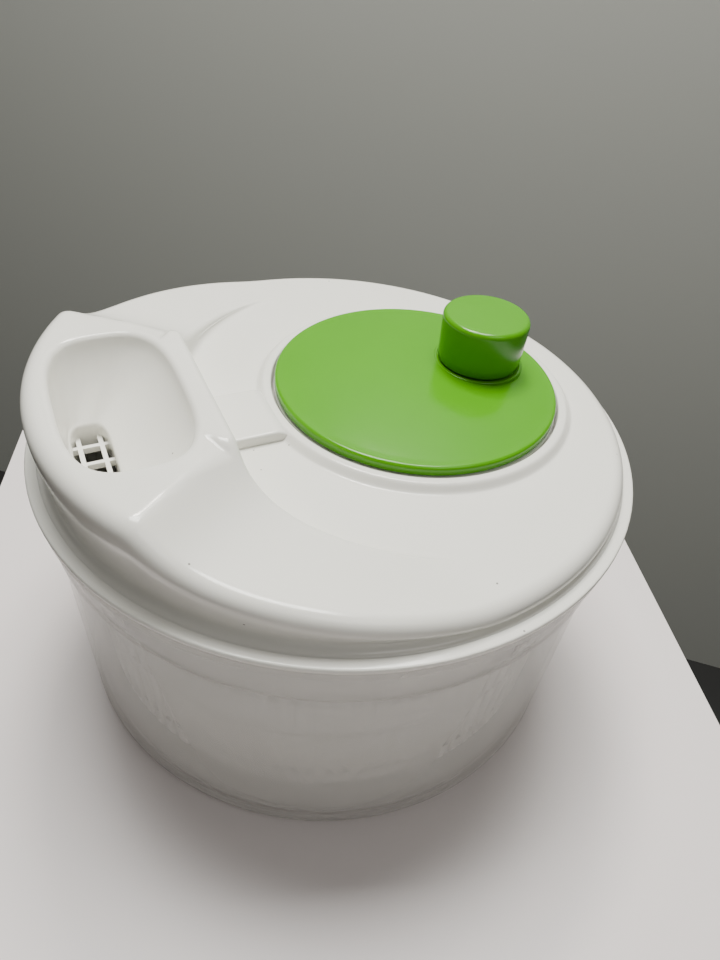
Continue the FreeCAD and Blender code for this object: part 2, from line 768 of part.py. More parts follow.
def make_funnel_grid():
    """The sieve insert in the funnel's neck: a frame with crossed bars."""
    low = size("grid_height")
    high = low + size("grid_depth")
    depth, bar = size("grid_depth"), size("grid_bar")
    whole = drain_prism(0, low, high)
    frame = whole.cut(drain_prism(-size("grid_frame"), low - 1, high + 1))
    bars = []
    for count, pitch, along_y in (
        (int(size("grid_bars_x")), size("grid_pitch_x"), True),
        (int(size("grid_bars_y")), size("grid_pitch_y"), False),
    ):
        for k in range(count):
            offset = (k - (count - 1) / 2) * pitch
            if along_y:
                corner = Vector(offset - bar / 2 - size("drain_x"), -60, low)
                bars.append(Part.makeBox(bar, 120, depth, corner))
            else:
                corner = Vector(-size("drain_x") - 60, offset - bar / 2, low)
                bars.append(Part.makeBox(120, bar, depth, corner))
    crossed = joined(bars).common(whole)
    return feature("funnel_grid", frame.fuse(crossed).removeSplitter())


# ---------------------------------------------------------------- gears

def involute_turn(radius, base_radius):
    """The involute function of the pressure angle at a radius."""
    angle = math.acos(min(1.0, base_radius / radius))
    return math.tan(angle) - angle


def gear_face(teeth, tip, root, thickness_share, height):
    """A face with involute teeth; thickness_share is the pitch-line tooth over half a pitch."""
    module = size("gear_module")
    pitch = module * teeth / 2
    base = pitch * math.cos(math.radians(20))
    half_pitch_angle = math.pi / (2 * teeth) * thickness_share
    levels = [root + (tip - root) * share for share in (0, 0.25, 0.5, 0.75, 1.0)]
    points = []
    for k in range(teeth):
        middle = 2 * math.pi * k / teeth
        rising = []
        for radius in levels:
            reach = max(radius, base)
            half = half_pitch_angle + involute_turn(pitch, base) - involute_turn(reach, base)
            rising.append((radius, half))
        for radius, half in rising:
            points.append((radius, middle - half))
        for radius, half in reversed(rising):
            points.append((radius, middle + half))
    corners = [Vector(r * math.cos(a), r * math.sin(a), height) for r, a in points]
    return Part.Face(Part.makePolygon(corners + corners[:1]))


def make_pinion_gear():
    """The pinion, with the stem that passes through the lid and ends in a square."""
    module = size("gear_module")
    teeth = int(size("pinion_teeth"))
    pitch = module * teeth / 2
    share = 1 - size("backlash") / (math.pi * module / 2)
    face = gear_face(teeth, pitch + module, pitch - 1.25 * module, share, gear_low)
    wheel = face.extrude(Vector(0, 0, size("tooth_height")))
    stem_low = size("driver_hub_top")
    stem = cylinder(size("spindle_radius"), stem_low, gear_low + 1)
    half = size("spindle_square") / 2
    square_low = driver_low + size("spindle_seat")
    square = Part.makeBox(
        2 * half, 2 * half, stem_low - square_low, Vector(-half, -half, square_low))
    hole = cylinder(size("screw_radius"), square_low - 1, stem_low + 4)
    return feature("pinion_gear", wheel.fuse([stem, square]).cut(hole).removeSplitter())


def make_ring_gear():
    """The internal gear under the crank disc, with the thin flange that shows round its edge."""
    module = size("gear_module")
    teeth = int(size("ring_teeth"))
    pitch = module * teeth / 2
    outer = size("ring_outer_radius")
    top = size("disc_pad_height")
    low = gear_low
    flange_low = size("ring_flange_height")
    flange_top = flange_low + size("ring_flange_thick")
    flange_radius = size("disc_radius") + size("ring_flange_out")
    blank = turned_shape([
        (pitch - 3 * module, low), (outer, low), (outer, flange_low),
        (flange_radius, flange_low), (flange_radius, flange_top),
        (outer, flange_top), (outer, top), (pitch - 3 * module, top),
    ])
    share = 1 + size("backlash") / (math.pi * module / 2)
    spaces = gear_face(teeth, pitch + 1.25 * module, pitch - module, share, low - 1)
    ring = blank.cut(spaces.extrude(Vector(0, 0, top - low + 2)))
    for k in range(4):
        turn = math.radians(45 + 90 * k)
        reach = ring_screw_circle
        x, y = reach * math.cos(turn), reach * math.sin(turn)
        sink = low + size("ring_screw_sink") + size("ring_screw_head_height")
        ring = ring.cut(cylinder(size("ring_screw_radius"), low - 1, top + 1, x, y))
        ring = ring.cut(cylinder(size("ring_screw_head_radius"), low - 1, sink, x, y))
    return placed(feature("ring_gear", ring), "crank_offset")


def make_ring_gear_screws():
    """Four small screws that hold the ring gear up against the disc."""
    screws = []
    for k in range(4):
        turn = math.radians(45 + 90 * k)
        reach = ring_screw_circle
        screws.append(screw(
            size("ring_screw_radius"), size("ring_screw_head_radius"), size("ring_screw_head_height"),
            gear_low + size("ring_screw_sink"), size("disc_pad_height") + size("ring_screw_grip"),
            reach * math.cos(turn), reach * math.sin(turn),
        ))
    return placed(feature("ring_gear_screws", Part.makeCompound(screws)), "crank_offset")


# ---------------------------------------------------------------- crank disc and knob

def make_crank_disc():
    """The domed disc with its turned-down edge, its journal and the seat of the knob."""
    radius = size("disc_radius")
    edge_top = size("disc_edge_top")
    edge_low = edge_top - size("disc_edge_height")
    crown = edge_top + size("disc_rise")
    journal = size("crank_journal_radius")
    shoulder = well_top + size("bush_flange_thick") + size("journal_end_gap")
    journal_low = size("journal_low")
    skirt = radius - size("disc_edge_wall")
    pad = size("disc_pad_height")
    under = size("disc_underside")
    sag = size("disc_rise")
    dome = [(share * radius, crown - sag * share ** 2.2) for share in (0.97, 0.8, 0.6, 0.4, 0.2)]
    disc = turned_shape([
        (0, journal_low),
        (journal, journal_low),
        (journal, shoulder),
        (journal + size("journal_shoulder"), shoulder),
        (journal + size("journal_shoulder"), under),
        (size("ring_outer_radius") - size("disc_pad_width") - 1, under),
        (size("ring_outer_radius") - size("disc_pad_width"), pad),
        (skirt, pad),
        (skirt, edge_low),
        (radius - 0.4, edge_low),
        (radius, edge_low + 0.4),
        (radius, edge_top - 1.4),
        (radius - 0.6, edge_top - 0.4),
        *dome,
        (0, crown),
    ])
    throw = size("knob_throw")
    seat = cylinder(size("knob_ring_radius"), under, size("knob_pad_height"), throw)
    seat = seat.makeFillet(0.5, [e for e in seat.Edges if e.BoundBox.ZMin > under + 1])
    disc = disc.fuse(seat)
    cuts = [
        cylinder(size("knob_journal_radius") + size("running_gap"), under - 4, crown + 4, throw),
        cylinder(size("screw_radius"), journal_low - 1,
                 size("well_floor_height") + size("crank_screw_grip") + size("screw_hole_spare")),
    ]
    for k in range(4):
        turn = math.radians(45 + 90 * k)
        x, y = ring_screw_circle * math.cos(turn), ring_screw_circle * math.sin(turn)
        cuts.append(cylinder(
            size("ring_screw_radius"), pad - 1, pad + size("ring_screw_grip") + 0.1, x, y))
    for cutter in cuts:
        disc = disc.cut(cutter)
    return placed(feature("crank_disc", disc), "crank_offset")


def make_crank_knob():
    """The hollow knob, a cup that flares a little upwards, with the boss that turns in the disc."""
    body = turned("crank_knob", [
        ("knob_bore_radius", "knob_journal_low"),
        ("knob_journal_radius", "knob_journal_low"),
        ("knob_journal_radius", "knob_pad_height + knob_gap"),
        ("knob_journal_radius + 3", "knob_pad_height + knob_gap"),
        ("knob_journal_radius + 3", "knob_pad_height + knob_height - knob_wall"),
        ("knob_radius + knob_flare - knob_wall - 1", "knob_pad_height + knob_height - knob_wall"),
        ("knob_radius - knob_wall", "knob_pad_height + knob_gap"),
        ("knob_radius", "knob_pad_height + knob_gap"),
        ("knob_radius + knob_flare", "knob_pad_height + knob_height"),
        ("0", "knob_pad_height + knob_height + 0.4"),
        ("0", "disc_underside + knob_screw_grip + 1"),
        ("knob_bore_radius", "disc_underside + knob_screw_grip + 1"),
    ])
    edge = size("knob_radius") + size("knob_flare")
    rounded(body, "knob_edge", 2.0, [(edge, size("knob_pad_height") + size("knob_height"))])
    return placed(body, "knob_offset")


# ---------------------------------------------------------------- bushes, washers and screws

def make_spindle_bush():
    """The flanged bush that carries the pinion's stem through both shells of the lid."""
    return turned("spindle_bush", [
        ("spindle_radius + running_gap", "tray_floor_height"),
        ("bush_radius", "tray_floor_height"),
        ("bush_radius", "well_top"),
        ("bush_radius + bush_flange", "well_top"),
        ("bush_radius + bush_flange", "well_top + bush_flange_thick"),
        ("spindle_radius + running_gap", "well_top + bush_flange_thick"),
    ])


def make_crank_bush():
    """The flanged bush in the well's floor that carries the disc's journal."""
    body = turned("crank_bush", [
        ("crank_journal_radius + running_gap", "well_floor_height - bush_drop"),
        ("crank_bush_radius", "well_floor_height - bush_drop"),
        ("crank_bush_radius", "well_top"),
        ("crank_bush_radius + bush_flange", "well_top"),
        ("crank_bush_radius + bush_flange", "well_top + bush_flange_thick"),
        ("crank_journal_radius + running_gap", "well_top + bush_flange_thick"),
    ])
    return placed(body, "crank_offset")


def make_washer(label, bore, rim, low, across):
    """A flat washer, its faces at low and one thickness above."""
    body = turned(label, [
        (bore, low), (rim, low), (rim, f"{low} + washer_thick"), (bore, f"{low} + washer_thick"),
    ])
    return placed(body, across)


def make_driver():
    """The four-armed driver: a hub and the arms that drop into the basket's notches."""
    arms = []
    for k in range(4):
        arm = Part.makeBox(
            size("basket_rim_radius") - size("driver_arm_inset"), size("driver_arm_width"),
            size("driver_arm_height"), Vector(0, -size("driver_arm_width") / 2, driver_low),
        )
        arm.rotate(Vector(0, 0, 0), UP, 90 * k)
        arms.append(arm)
    hub = cylinder(size("driver_hub_radius"), driver_low, size("driver_hub_top"))
    driver = hub.fuse(arms)
    square, seat = size("spindle_square"), driver_low + size("spindle_seat")
    driver = driver.cut(Part.makeBox(square, square, 30, Vector(-square / 2, -square / 2, seat)))
    driver = driver.cut(cylinder(size("screw_radius"), driver_low - 1, seat + 1))
    return feature("basket_driver", driver.removeSplitter())


make_bowl()
make_basket_bearing()
make_basket()
make_lid_shell()
make_lid_tray()
make_lid_screws()
make_funnel_grid()
make_pinion_gear()
make_ring_gear()
make_ring_gear_screws()
make_crank_disc()
make_crank_knob()
make_spindle_bush()
make_crank_bush()
make_washer("spindle_washer", "spindle_radius + washer_gap", "driver_hub_radius - 2",
            "spindle_washer_low", "0")
make_washer("crank_washer", "screw_radius + washer_gap", "crank_journal_radius + 3",
            "crank_washer_low", "crank_offset")
make_washer("knob_washer", "screw_radius + washer_gap", "knob_journal_radius + 2",
            "knob_washer_low", "knob_offset")
make_driver()
head = size("screw_head_height")
feature("spindle_screw", screw(
    size("screw_radius"), size("screw_head_radius"), head, driver_low - head,
    size("tray_floor_height") + size("spindle_screw_grip"),
))
placed(feature("crank_screw", screw(
    size("screw_radius"), size("screw_head_radius"), head, size("crank_washer_low") - head,
    size("well_floor_height") + size("crank_screw_grip"),
)), "crank_offset")
head = size("knob_screw_head_height")
placed(feature("knob_screw", screw(
    size("screw_radius"), size("knob_screw_head_radius"), head, size("knob_washer_low") - head,
    size("disc_underside") + size("knob_screw_grip"),
)), "knob_offset")

document.recompute()

NODES = [
    "bowl", "basket_bearing", "basket", "lid_shell", "lid_tray", "lid_screws", "funnel_grid",
    "pinion_gear", "ring_gear", "ring_gear_screws", "crank_disc", "crank_knob", "spindle_bush",
    "crank_bush", "spindle_washer", "crank_washer", "knob_washer", "basket_driver",
    "spindle_screw", "crank_screw", "knob_screw",
]

for made in document.Objects:
    if "Invalid" in made.State or "Error" in made.State:
        raise RuntimeError(f"{made.Label} failed: {made.State}")
os.makedirs("parts", exist_ok=True)
for label in NODES:
    found = document.getObjectsByLabel(label)[0]
    shape = found.Shape
    if shape.isNull() or not shape.isValid() or not shape.Solids:
        raise RuntimeError(f"{label} has no valid shape")
    Part.makeCompound(shape.Solids).exportStep(os.path.join("parts", f"{label}.step"))
    print(label, len(shape.Solids), round(shape.Volume), flush=True)
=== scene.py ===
"""A hand-cranked salad spinner, dressed for display around its packed design.

The design carries every piece that fits, turns or fastens. This script gives the pieces that show
their moulded shapes (rounded edges, the lid's raised funnel and its hollow flanks, the slotted
basket, the milky bowl) and gives each piece the finish of the plastic or metal it is made of.

Metres, +Z up. The lid's axis is the Z axis, the crank disc's axis stands on +X from it, and the
pouring funnel is on the -X side. Sizes come from the frame's boxes and from the fields of the
classes below.
"""

import logging
import math
from dataclasses import dataclass, field
from enum import Enum
from typing import Callable, Iterable, Sequence

import bmesh
import bpy
from mathutils import Matrix, Vector


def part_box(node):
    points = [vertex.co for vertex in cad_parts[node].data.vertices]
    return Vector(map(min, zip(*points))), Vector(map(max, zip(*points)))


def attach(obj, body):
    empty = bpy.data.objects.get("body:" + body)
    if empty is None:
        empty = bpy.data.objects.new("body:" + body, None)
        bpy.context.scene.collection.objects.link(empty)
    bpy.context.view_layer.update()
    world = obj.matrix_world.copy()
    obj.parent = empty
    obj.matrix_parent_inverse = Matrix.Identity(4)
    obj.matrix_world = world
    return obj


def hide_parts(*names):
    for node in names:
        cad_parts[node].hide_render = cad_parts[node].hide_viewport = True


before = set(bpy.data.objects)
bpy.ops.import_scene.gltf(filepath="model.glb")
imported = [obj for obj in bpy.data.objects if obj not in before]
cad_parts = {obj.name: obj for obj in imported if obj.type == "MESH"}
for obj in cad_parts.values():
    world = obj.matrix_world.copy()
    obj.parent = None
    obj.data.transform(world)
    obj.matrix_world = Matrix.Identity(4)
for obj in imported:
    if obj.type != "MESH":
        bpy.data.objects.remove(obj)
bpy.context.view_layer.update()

logging.basicConfig(level=logging.INFO, format="%(levelname)s %(message)s")
log = logging.getLogger("salad_spinner")

MM = 0.001
FULL_TURN = 2 * math.pi
Outline = Sequence[tuple[float, float]]


# ------------------------------------------------------------------ small tools


def linear_colour(text: str) -> tuple[float, float, float, float]:
    """Turns an sRGB hex colour into linear values.

    Args:
        text: Six hex digits after a #.

    Returns:
        Linear red, green, blue and an alpha of 1.
    """
    parts = [int(text[k : k + 2], 16) / 255 for k in (1, 3, 5)]
    bent = [c / 12.92 if c <= 0.04045 else ((c + 0.055) / 1.055) ** 2.4 for c in parts]
    return (bent[0], bent[1], bent[2], 1.0)


def blend_between(low: float, high: float, share: float) -> float:
    """The value at a share of the way from low to high."""
    return low + (high - low) * share


def eased(share: float) -> float:
    """A share from 0 to 1 that starts and ends level."""
    held = min(1.0, max(0.0, share))
    return held * held * (3 - 2 * held)


def arc(
    centre: tuple[float, float], radius: float, start: float, end: float, steps: int
) -> list[tuple[float, float]]:
    """Points on an arc of an outline.

    Args:
        centre: The arc's centre, across and up.
        radius: Its radius.
        start: The first point's direction in degrees, 0 outwards and 90 up.
        end: The last point's direction in degrees.
        steps: How many spans the arc has.

    Returns:
        The points, from start to end.
    """
    turns = [math.radians(blend_between(start, end, k / steps)) for k in range(steps + 1)]
    return [(centre[0] + radius * math.cos(a), centre[1] + radius * math.sin(a)) for a in turns]


def finished_piece(bm: bmesh.types.BMesh, name: str, sharp_degrees: float = 40) -> bpy.types.Object:
    """Makes a shaded object of a bmesh and frees the bmesh.

    Args:
        bm: The shape, with its place in its vertices.
        name: The piece's name.
        sharp_degrees: Edges that turn more than this stay crisp.

    Returns:
        The object, linked to the scene.
    """
    limit = math.radians(sharp_degrees)
    for face in bm.faces:
        face.smooth = True
    for edge in bm.edges:
        if len(edge.link_faces) == 2 and edge.calc_face_angle(0.0) > limit:
            edge.smooth = False
    mesh = bpy.data.meshes.new(name)
    bm.to_mesh(mesh)
    bm.free()
    piece = bpy.data.objects.new(name, mesh)
    bpy.context.scene.collection.objects.link(piece)
    return piece


def turned_bmesh(outline: Outline, across: float, steps: int, closed: bool = True) -> bmesh.types.BMesh:
    """Spins an outline of (radius, height) points once round a vertical axis.

    Args:
        outline: The points in metres, in order.
        across: The axis's place along X.
        steps: How many spans the turn has.
        closed: Whether the last point joins the first.

    Returns:
        A bmesh with its doubles merged and its faces outwards.
    """
    bm = bmesh.new()
    verts = [bm.verts.new((radius, 0, height)) for radius, height in outline]
    pairs = list(zip(verts, verts[1:]))
    if closed:
        pairs.append((verts[-1], verts[0]))
    edges = [bm.edges.new(pair) for pair in pairs]
    bmesh.ops.spin(
        bm, geom=verts + edges, cent=(0, 0, 0), axis=(0, 0, 1), angle=FULL_TURN,
        steps=steps, use_merge=True, use_duplicate=False,
    )
    bmesh.ops.remove_doubles(bm, verts=bm.verts, dist=1e-6)
    bmesh.ops.recalc_face_normals(bm, faces=bm.faces)
    bmesh.ops.translate(bm, verts=bm.verts, vec=(across, 0, 0))
    return bm


def joined_bmesh(target: bmesh.types.BMesh, source: bmesh.types.BMesh) -> None:
    """Adds one bmesh's shape to another and frees the added one."""
    mesh = bpy.data.meshes.new("joining")
    source.to_mesh(mesh)
    source.free()
    target.from_mesh(mesh)
    bpy.data.meshes.remove(mesh)


def thickened(piece: bpy.types.Object, wall: float) -> None:
    """Gives an open skin its wall on the inner side."""
    wall_maker = piece.modifiers.new("wall", "SOLIDIFY")
    wall_maker.thickness = wall
    wall_maker.offset = -1.0
    wall_maker.use_even_offset = False
    wall_maker.use_rim = True


def bevelled(
    bm: bmesh.types.BMesh, edges: Iterable[bmesh.types.BMEdge], width: float, segments: int
) -> None:
    """Rounds the given edges of a bmesh."""
    bmesh.ops.bevel(
        bm, geom=list(edges), offset=width, offset_type="OFFSET", segments=segments,
        profile=0.5, affect="EDGES", material=-1, clamp_overlap=True,
    )


# ------------------------------------------------------------------ finishes


def add_node(
    material: bpy.types.Material,
    kind: str,
    settings: dict[str, object] | None = None,
    links: dict[str, bpy.types.NodeSocket] | None = None,
) -> bpy.types.Node:
    """Adds a shader node with its settings and the links into it.

    Args:
        material: The material whose tree gets the node.
        kind: The node's type name.
        settings: Values by input name, or by property name after a dot.
        links: Sockets of earlier nodes by the name of the input they feed.

    Returns:
        The new node.
    """
    tree = material.node_tree
    node = tree.nodes.new(kind)
    for name, value in (settings or {}).items():
        if name.startswith("."):
            setattr(node, name[1:], value)
        else:
            node.inputs[name].default_value = value
    for name, socket in (links or {}).items():
        tree.links.new(socket, node.inputs[name])
    return node


@dataclass(frozen=True)
class MouldedPlastic:
    """An injection-moulded plastic: a gloss that ripples faintly, with fine scuffs from use.

    The mould's polish gives a clear reflection; slight sink makes it waver; handling leaves short
    scuffs that catch the light and a few dark specks of dirt.
    """

    name: str
    colour: str
    shade: str
    roughness: float = 0.2
    ior: float = 1.5
    ripple_mm: float = 9.0
    ripple_depth: float = 0.02
    scuff_mm: float = 1.2
    speck_spacing_mm: float = 9.0
    speck_share: float = 0.0
    speck_colour: str = "#4A443C"
    mottle_mm: float = 35.0
    subsurface: float = 0.0

    def build(self) -> bpy.types.Material:
        """Makes the material."""
        material = bpy.data.materials.new(self.name)
        material.use_nodes = True
        material.node_tree.nodes.clear()
        place = add_node(material, "ShaderNodeTexCoord")
        where = place.outputs["Object"]
        mottle = add_node(
            material, "ShaderNodeTexNoise", {"Scale": 1 / (self.mottle_mm * MM), "Detail": 3.0},
            {"Vector": where},
        )
        tint = add_node(
            material, "ShaderNodeMix", {".data_type": "RGBA"}, {"Factor": mottle.outputs["Fac"]}
        )
        tint.inputs[6].default_value = linear_colour(self.colour)
        tint.inputs[7].default_value = linear_colour(self.shade)
        colour = tint.outputs[2]
        if self.speck_share > 0:
            colour = self.with_specks(material, where, colour)
        stretch = add_node(
            material, "ShaderNodeMapping",
            {"Rotation": (0.0, 0.0, 0.6), "Scale": (1.0, 2.0, 1.0)}, {"Vector": where},
        )
        scuffs = add_node(
            material, "ShaderNodeTexNoise", {"Scale": 1 / (self.scuff_mm * 8 * MM), "Detail": 8.0},
            {"Vector": stretch.outputs["Vector"]},
        )
        gloss = add_node(
            material, "ShaderNodeMapRange",
            {"From Min": 0.35, "From Max": 0.75, "To Min": self.roughness * 0.92,
             "To Max": self.roughness * 1.12},
            {"Value": scuffs.outputs["Fac"]},
        )
        ripple = add_node(
            material, "ShaderNodeTexNoise", {"Scale": 1 / (self.ripple_mm * MM), "Detail": 2.0},
            {"Vector": where},
        )
        bump = add_node(
            material, "ShaderNodeBump",
            {"Strength": self.ripple_depth, "Distance": 1 * MM}, {"Height": ripple.outputs["Fac"]},
        )
        shader = add_node(
            material, "ShaderNodeBsdfPrincipled",
            {"IOR": self.ior, "Subsurface Weight": self.subsurface,
             "Subsurface Radius": (1.0, 1.0, 0.8), "Subsurface Scale": 2 * MM},
            {
                "Base Color": colour, "Roughness": gloss.outputs["Result"],
                "Normal": bump.outputs["Normal"],
            },
        )
        add_node(material, "ShaderNodeOutputMaterial", None, {"Surface": shader.outputs["BSDF"]})
        return material

    def with_specks(
        self, material: bpy.types.Material, where: bpy.types.NodeSocket, colour: bpy.types.NodeSocket
    ) -> bpy.types.NodeSocket:
        """Scatters small dark specks over a colour.

        Args:
            material: The material being built.
            where: The place on the piece.
            colour: The clean colour.

        Returns:
            The colour with specks.
        """
        cells = add_node(
            material, "ShaderNodeTexVoronoi",
            {"Scale": 1 / (self.speck_spacing_mm * MM), "Randomness": 1.0}, {"Vector": where},
        )
        dot = add_node(
            material, "ShaderNodeMapRange",
            {"From Min": 0.035, "From Max": 0.05, "To Min": 1.0, "To Max": 0.0},
            {"Value": cells.outputs["Distance"]},
        )
        patches = add_node(
            material, "ShaderNodeTexNoise", {"Scale": 1 / (45 * MM), "Detail": 1.0}, {"Vector": where}
        )
        kept = add_node(
            material, "ShaderNodeMapRange",
            {"From Min": 0.56, "From Max": 0.64, "To Min": 0.0, "To Max": self.speck_share},
            {"Value": patches.outputs["Fac"]},
        )
        weight = add_node(material, "ShaderNodeMath", {".operation": "MULTIPLY"})
        material.node_tree.links.new(dot.outputs["Result"], weight.inputs[0])
        material.node_tree.links.new(kept.outputs["Result"], weight.inputs[1])
        mixed = add_node(
            material, "ShaderNodeMix", {".data_type": "RGBA"}, {"Factor": weight.outputs["Value"]}
        )
        material.node_tree.links.new(colour, mixed.inputs[6])
        mixed.inputs[7].default_value = linear_colour(self.speck_colour)
        return mixed.outputs[2]


@dataclass(frozen=True)
class MilkyPolypropylene:
    """Natural polypropylene, moulded thin: light passes, but what is behind it is only a soft shape.

    The cover is how much of the view one face of the wall hides.
    """

    name: str = "milky polypropylene"
    colour: str = "#F7F6F2"
    shade: str = "#F0EFEA"
    roughness: float = 0.16
    transmission: float = 0.3
    cover: float = 0.42
    ior: float = 1.45

    def build(self) -> bpy.types.Material:
        """Makes the material."""
        material = bpy.data.materials.new(self.name)
        material.use_nodes = True
        material.node_tree.nodes.clear()
        place = add_node(material, "ShaderNodeTexCoord")
        where = place.outputs["Object"]
        haze = add_node(
            material, "ShaderNodeTexNoise", {"Scale": 1 / (28 * MM), "Detail": 3.0}, {"Vector": where}
        )
        gloss = add_node(
            material, "ShaderNodeMapRange",
            {"To Min": self.roughness * 0.85, "To Max": self.roughness * 1.2},
            {"Value": haze.outputs["Fac"]},
        )
        tint = add_node(
            material, "ShaderNodeMix", {".data_type": "RGBA"}, {"Factor": haze.outputs["Fac"]}
        )
        tint.inputs[6].default_value = linear_colour(self.colour)
        tint.inputs[7].default_value = linear_colour(self.shade)
        flow = add_node(
            material, "ShaderNodeTexNoise", {"Scale": 1 / (14 * MM), "Detail": 1.0}, {"Vector": where}
        )
        bump = add_node(
            material, "ShaderNodeBump", {"Strength": 0.03, "Distance": 1 * MM},
            {"Height": flow.outputs["Fac"]},
        )
        shader = add_node(
            material, "ShaderNodeBsdfPrincipled",
            {"IOR": self.ior, "Transmission Weight": self.transmission, "Alpha": self.cover},
            {"Base Color": tint.outputs[2], "Roughness": gloss.outputs["Result"],
             "Normal": bump.outputs["Normal"]},
        )
        add_node(material, "ShaderNodeOutputMaterial", None, {"Surface": shader.outputs["BSDF"]})
        return material


@dataclass(frozen=True)
class ZincPlatedSteel:
    """Zinc-plated steel: bright, with fine turning marks that spread the reflection."""

    name: str = "zinc plated steel"
    colour: str = "#C9C8C4"
    roughness: float = 0.28

    def build(self) -> bpy.types.Material:
        """Makes the material."""
        material = bpy.data.materials.new(self.name)
        material.use_nodes = True
        material.node_tree.nodes.clear()
        place = add_node(material, "ShaderNodeTexCoord")
        marks = add_node(
            material, "ShaderNodeTexNoise", {"Scale": 1 / (0.8 * MM), "Detail": 4.0},
            {"Vector": place.outputs["Object"]},
        )
        gloss = add_node(
            material, "ShaderNodeMapRange",
            {"To Min": self.roughness * 0.7, "To Max": self.roughness * 1.5},
            {"Value": marks.outputs["Fac"]},
        )
        shader = add_node(
            material, "ShaderNodeBsdfPrincipled",
            {"Base Color": linear_colour(self.colour), "Metallic": 1.0},
            {"Roughness": gloss.outputs["Result"]},
        )
        add_node(material, "ShaderNodeOutputMaterial", None, {"Surface": shader.outputs["BSDF"]})
        return material


class Finish(Enum):
    """The finishes that the spinner's pieces have."""

    WHITE = MouldedPlastic(
        "white gloss polystyrene", "#EDECE6", "#E8E7DF",
        roughness=0.15, speck_share=0.85, subsurface=0.08,
    )
    GREEN = MouldedPlastic("green gloss polystyrene", "#4E9C00", "#499400", roughness=0.2, ior=1.42)
    BASKET = MouldedPlastic("white polypropylene", "#EFEEE8", "#E6E5DE", roughness=0.34)
    ACETAL = MouldedPlastic("white acetal", "#E8E6DE", "#DEDCD3", roughness=0.36)
    MILKY = MilkyPolypropylene()
    STEEL = ZincPlatedSteel()


class Dresser:
    """Builds each finish once and gives it to pieces."""

    def __init__(self) -> None:
        """Starts with no finish built."""
        self.built: dict[Finish, bpy.types.Material] = {}

    def dress(self, piece: bpy.types.Object, finish: Finish) -> None:
        """Gives a piece its finish in every slot."""
        if finish not in self.built:
            self.built[finish] = finish.value.build()
        piece.data.materials.clear()
        piece.data.materials.append(self.built[finish])
        for face in piece.data.polygons:
            face.material_index = 0

    def dress_nodes(self, names: Sequence[str], finish: Finish) -> None:
        """Gives carried-over design nodes their finish."""
        for name in names:
            self.dress(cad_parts[name], finish)
            log.info("node %s in %s", name, finish.value.name)


# ------------------------------------------------------------------ the lid


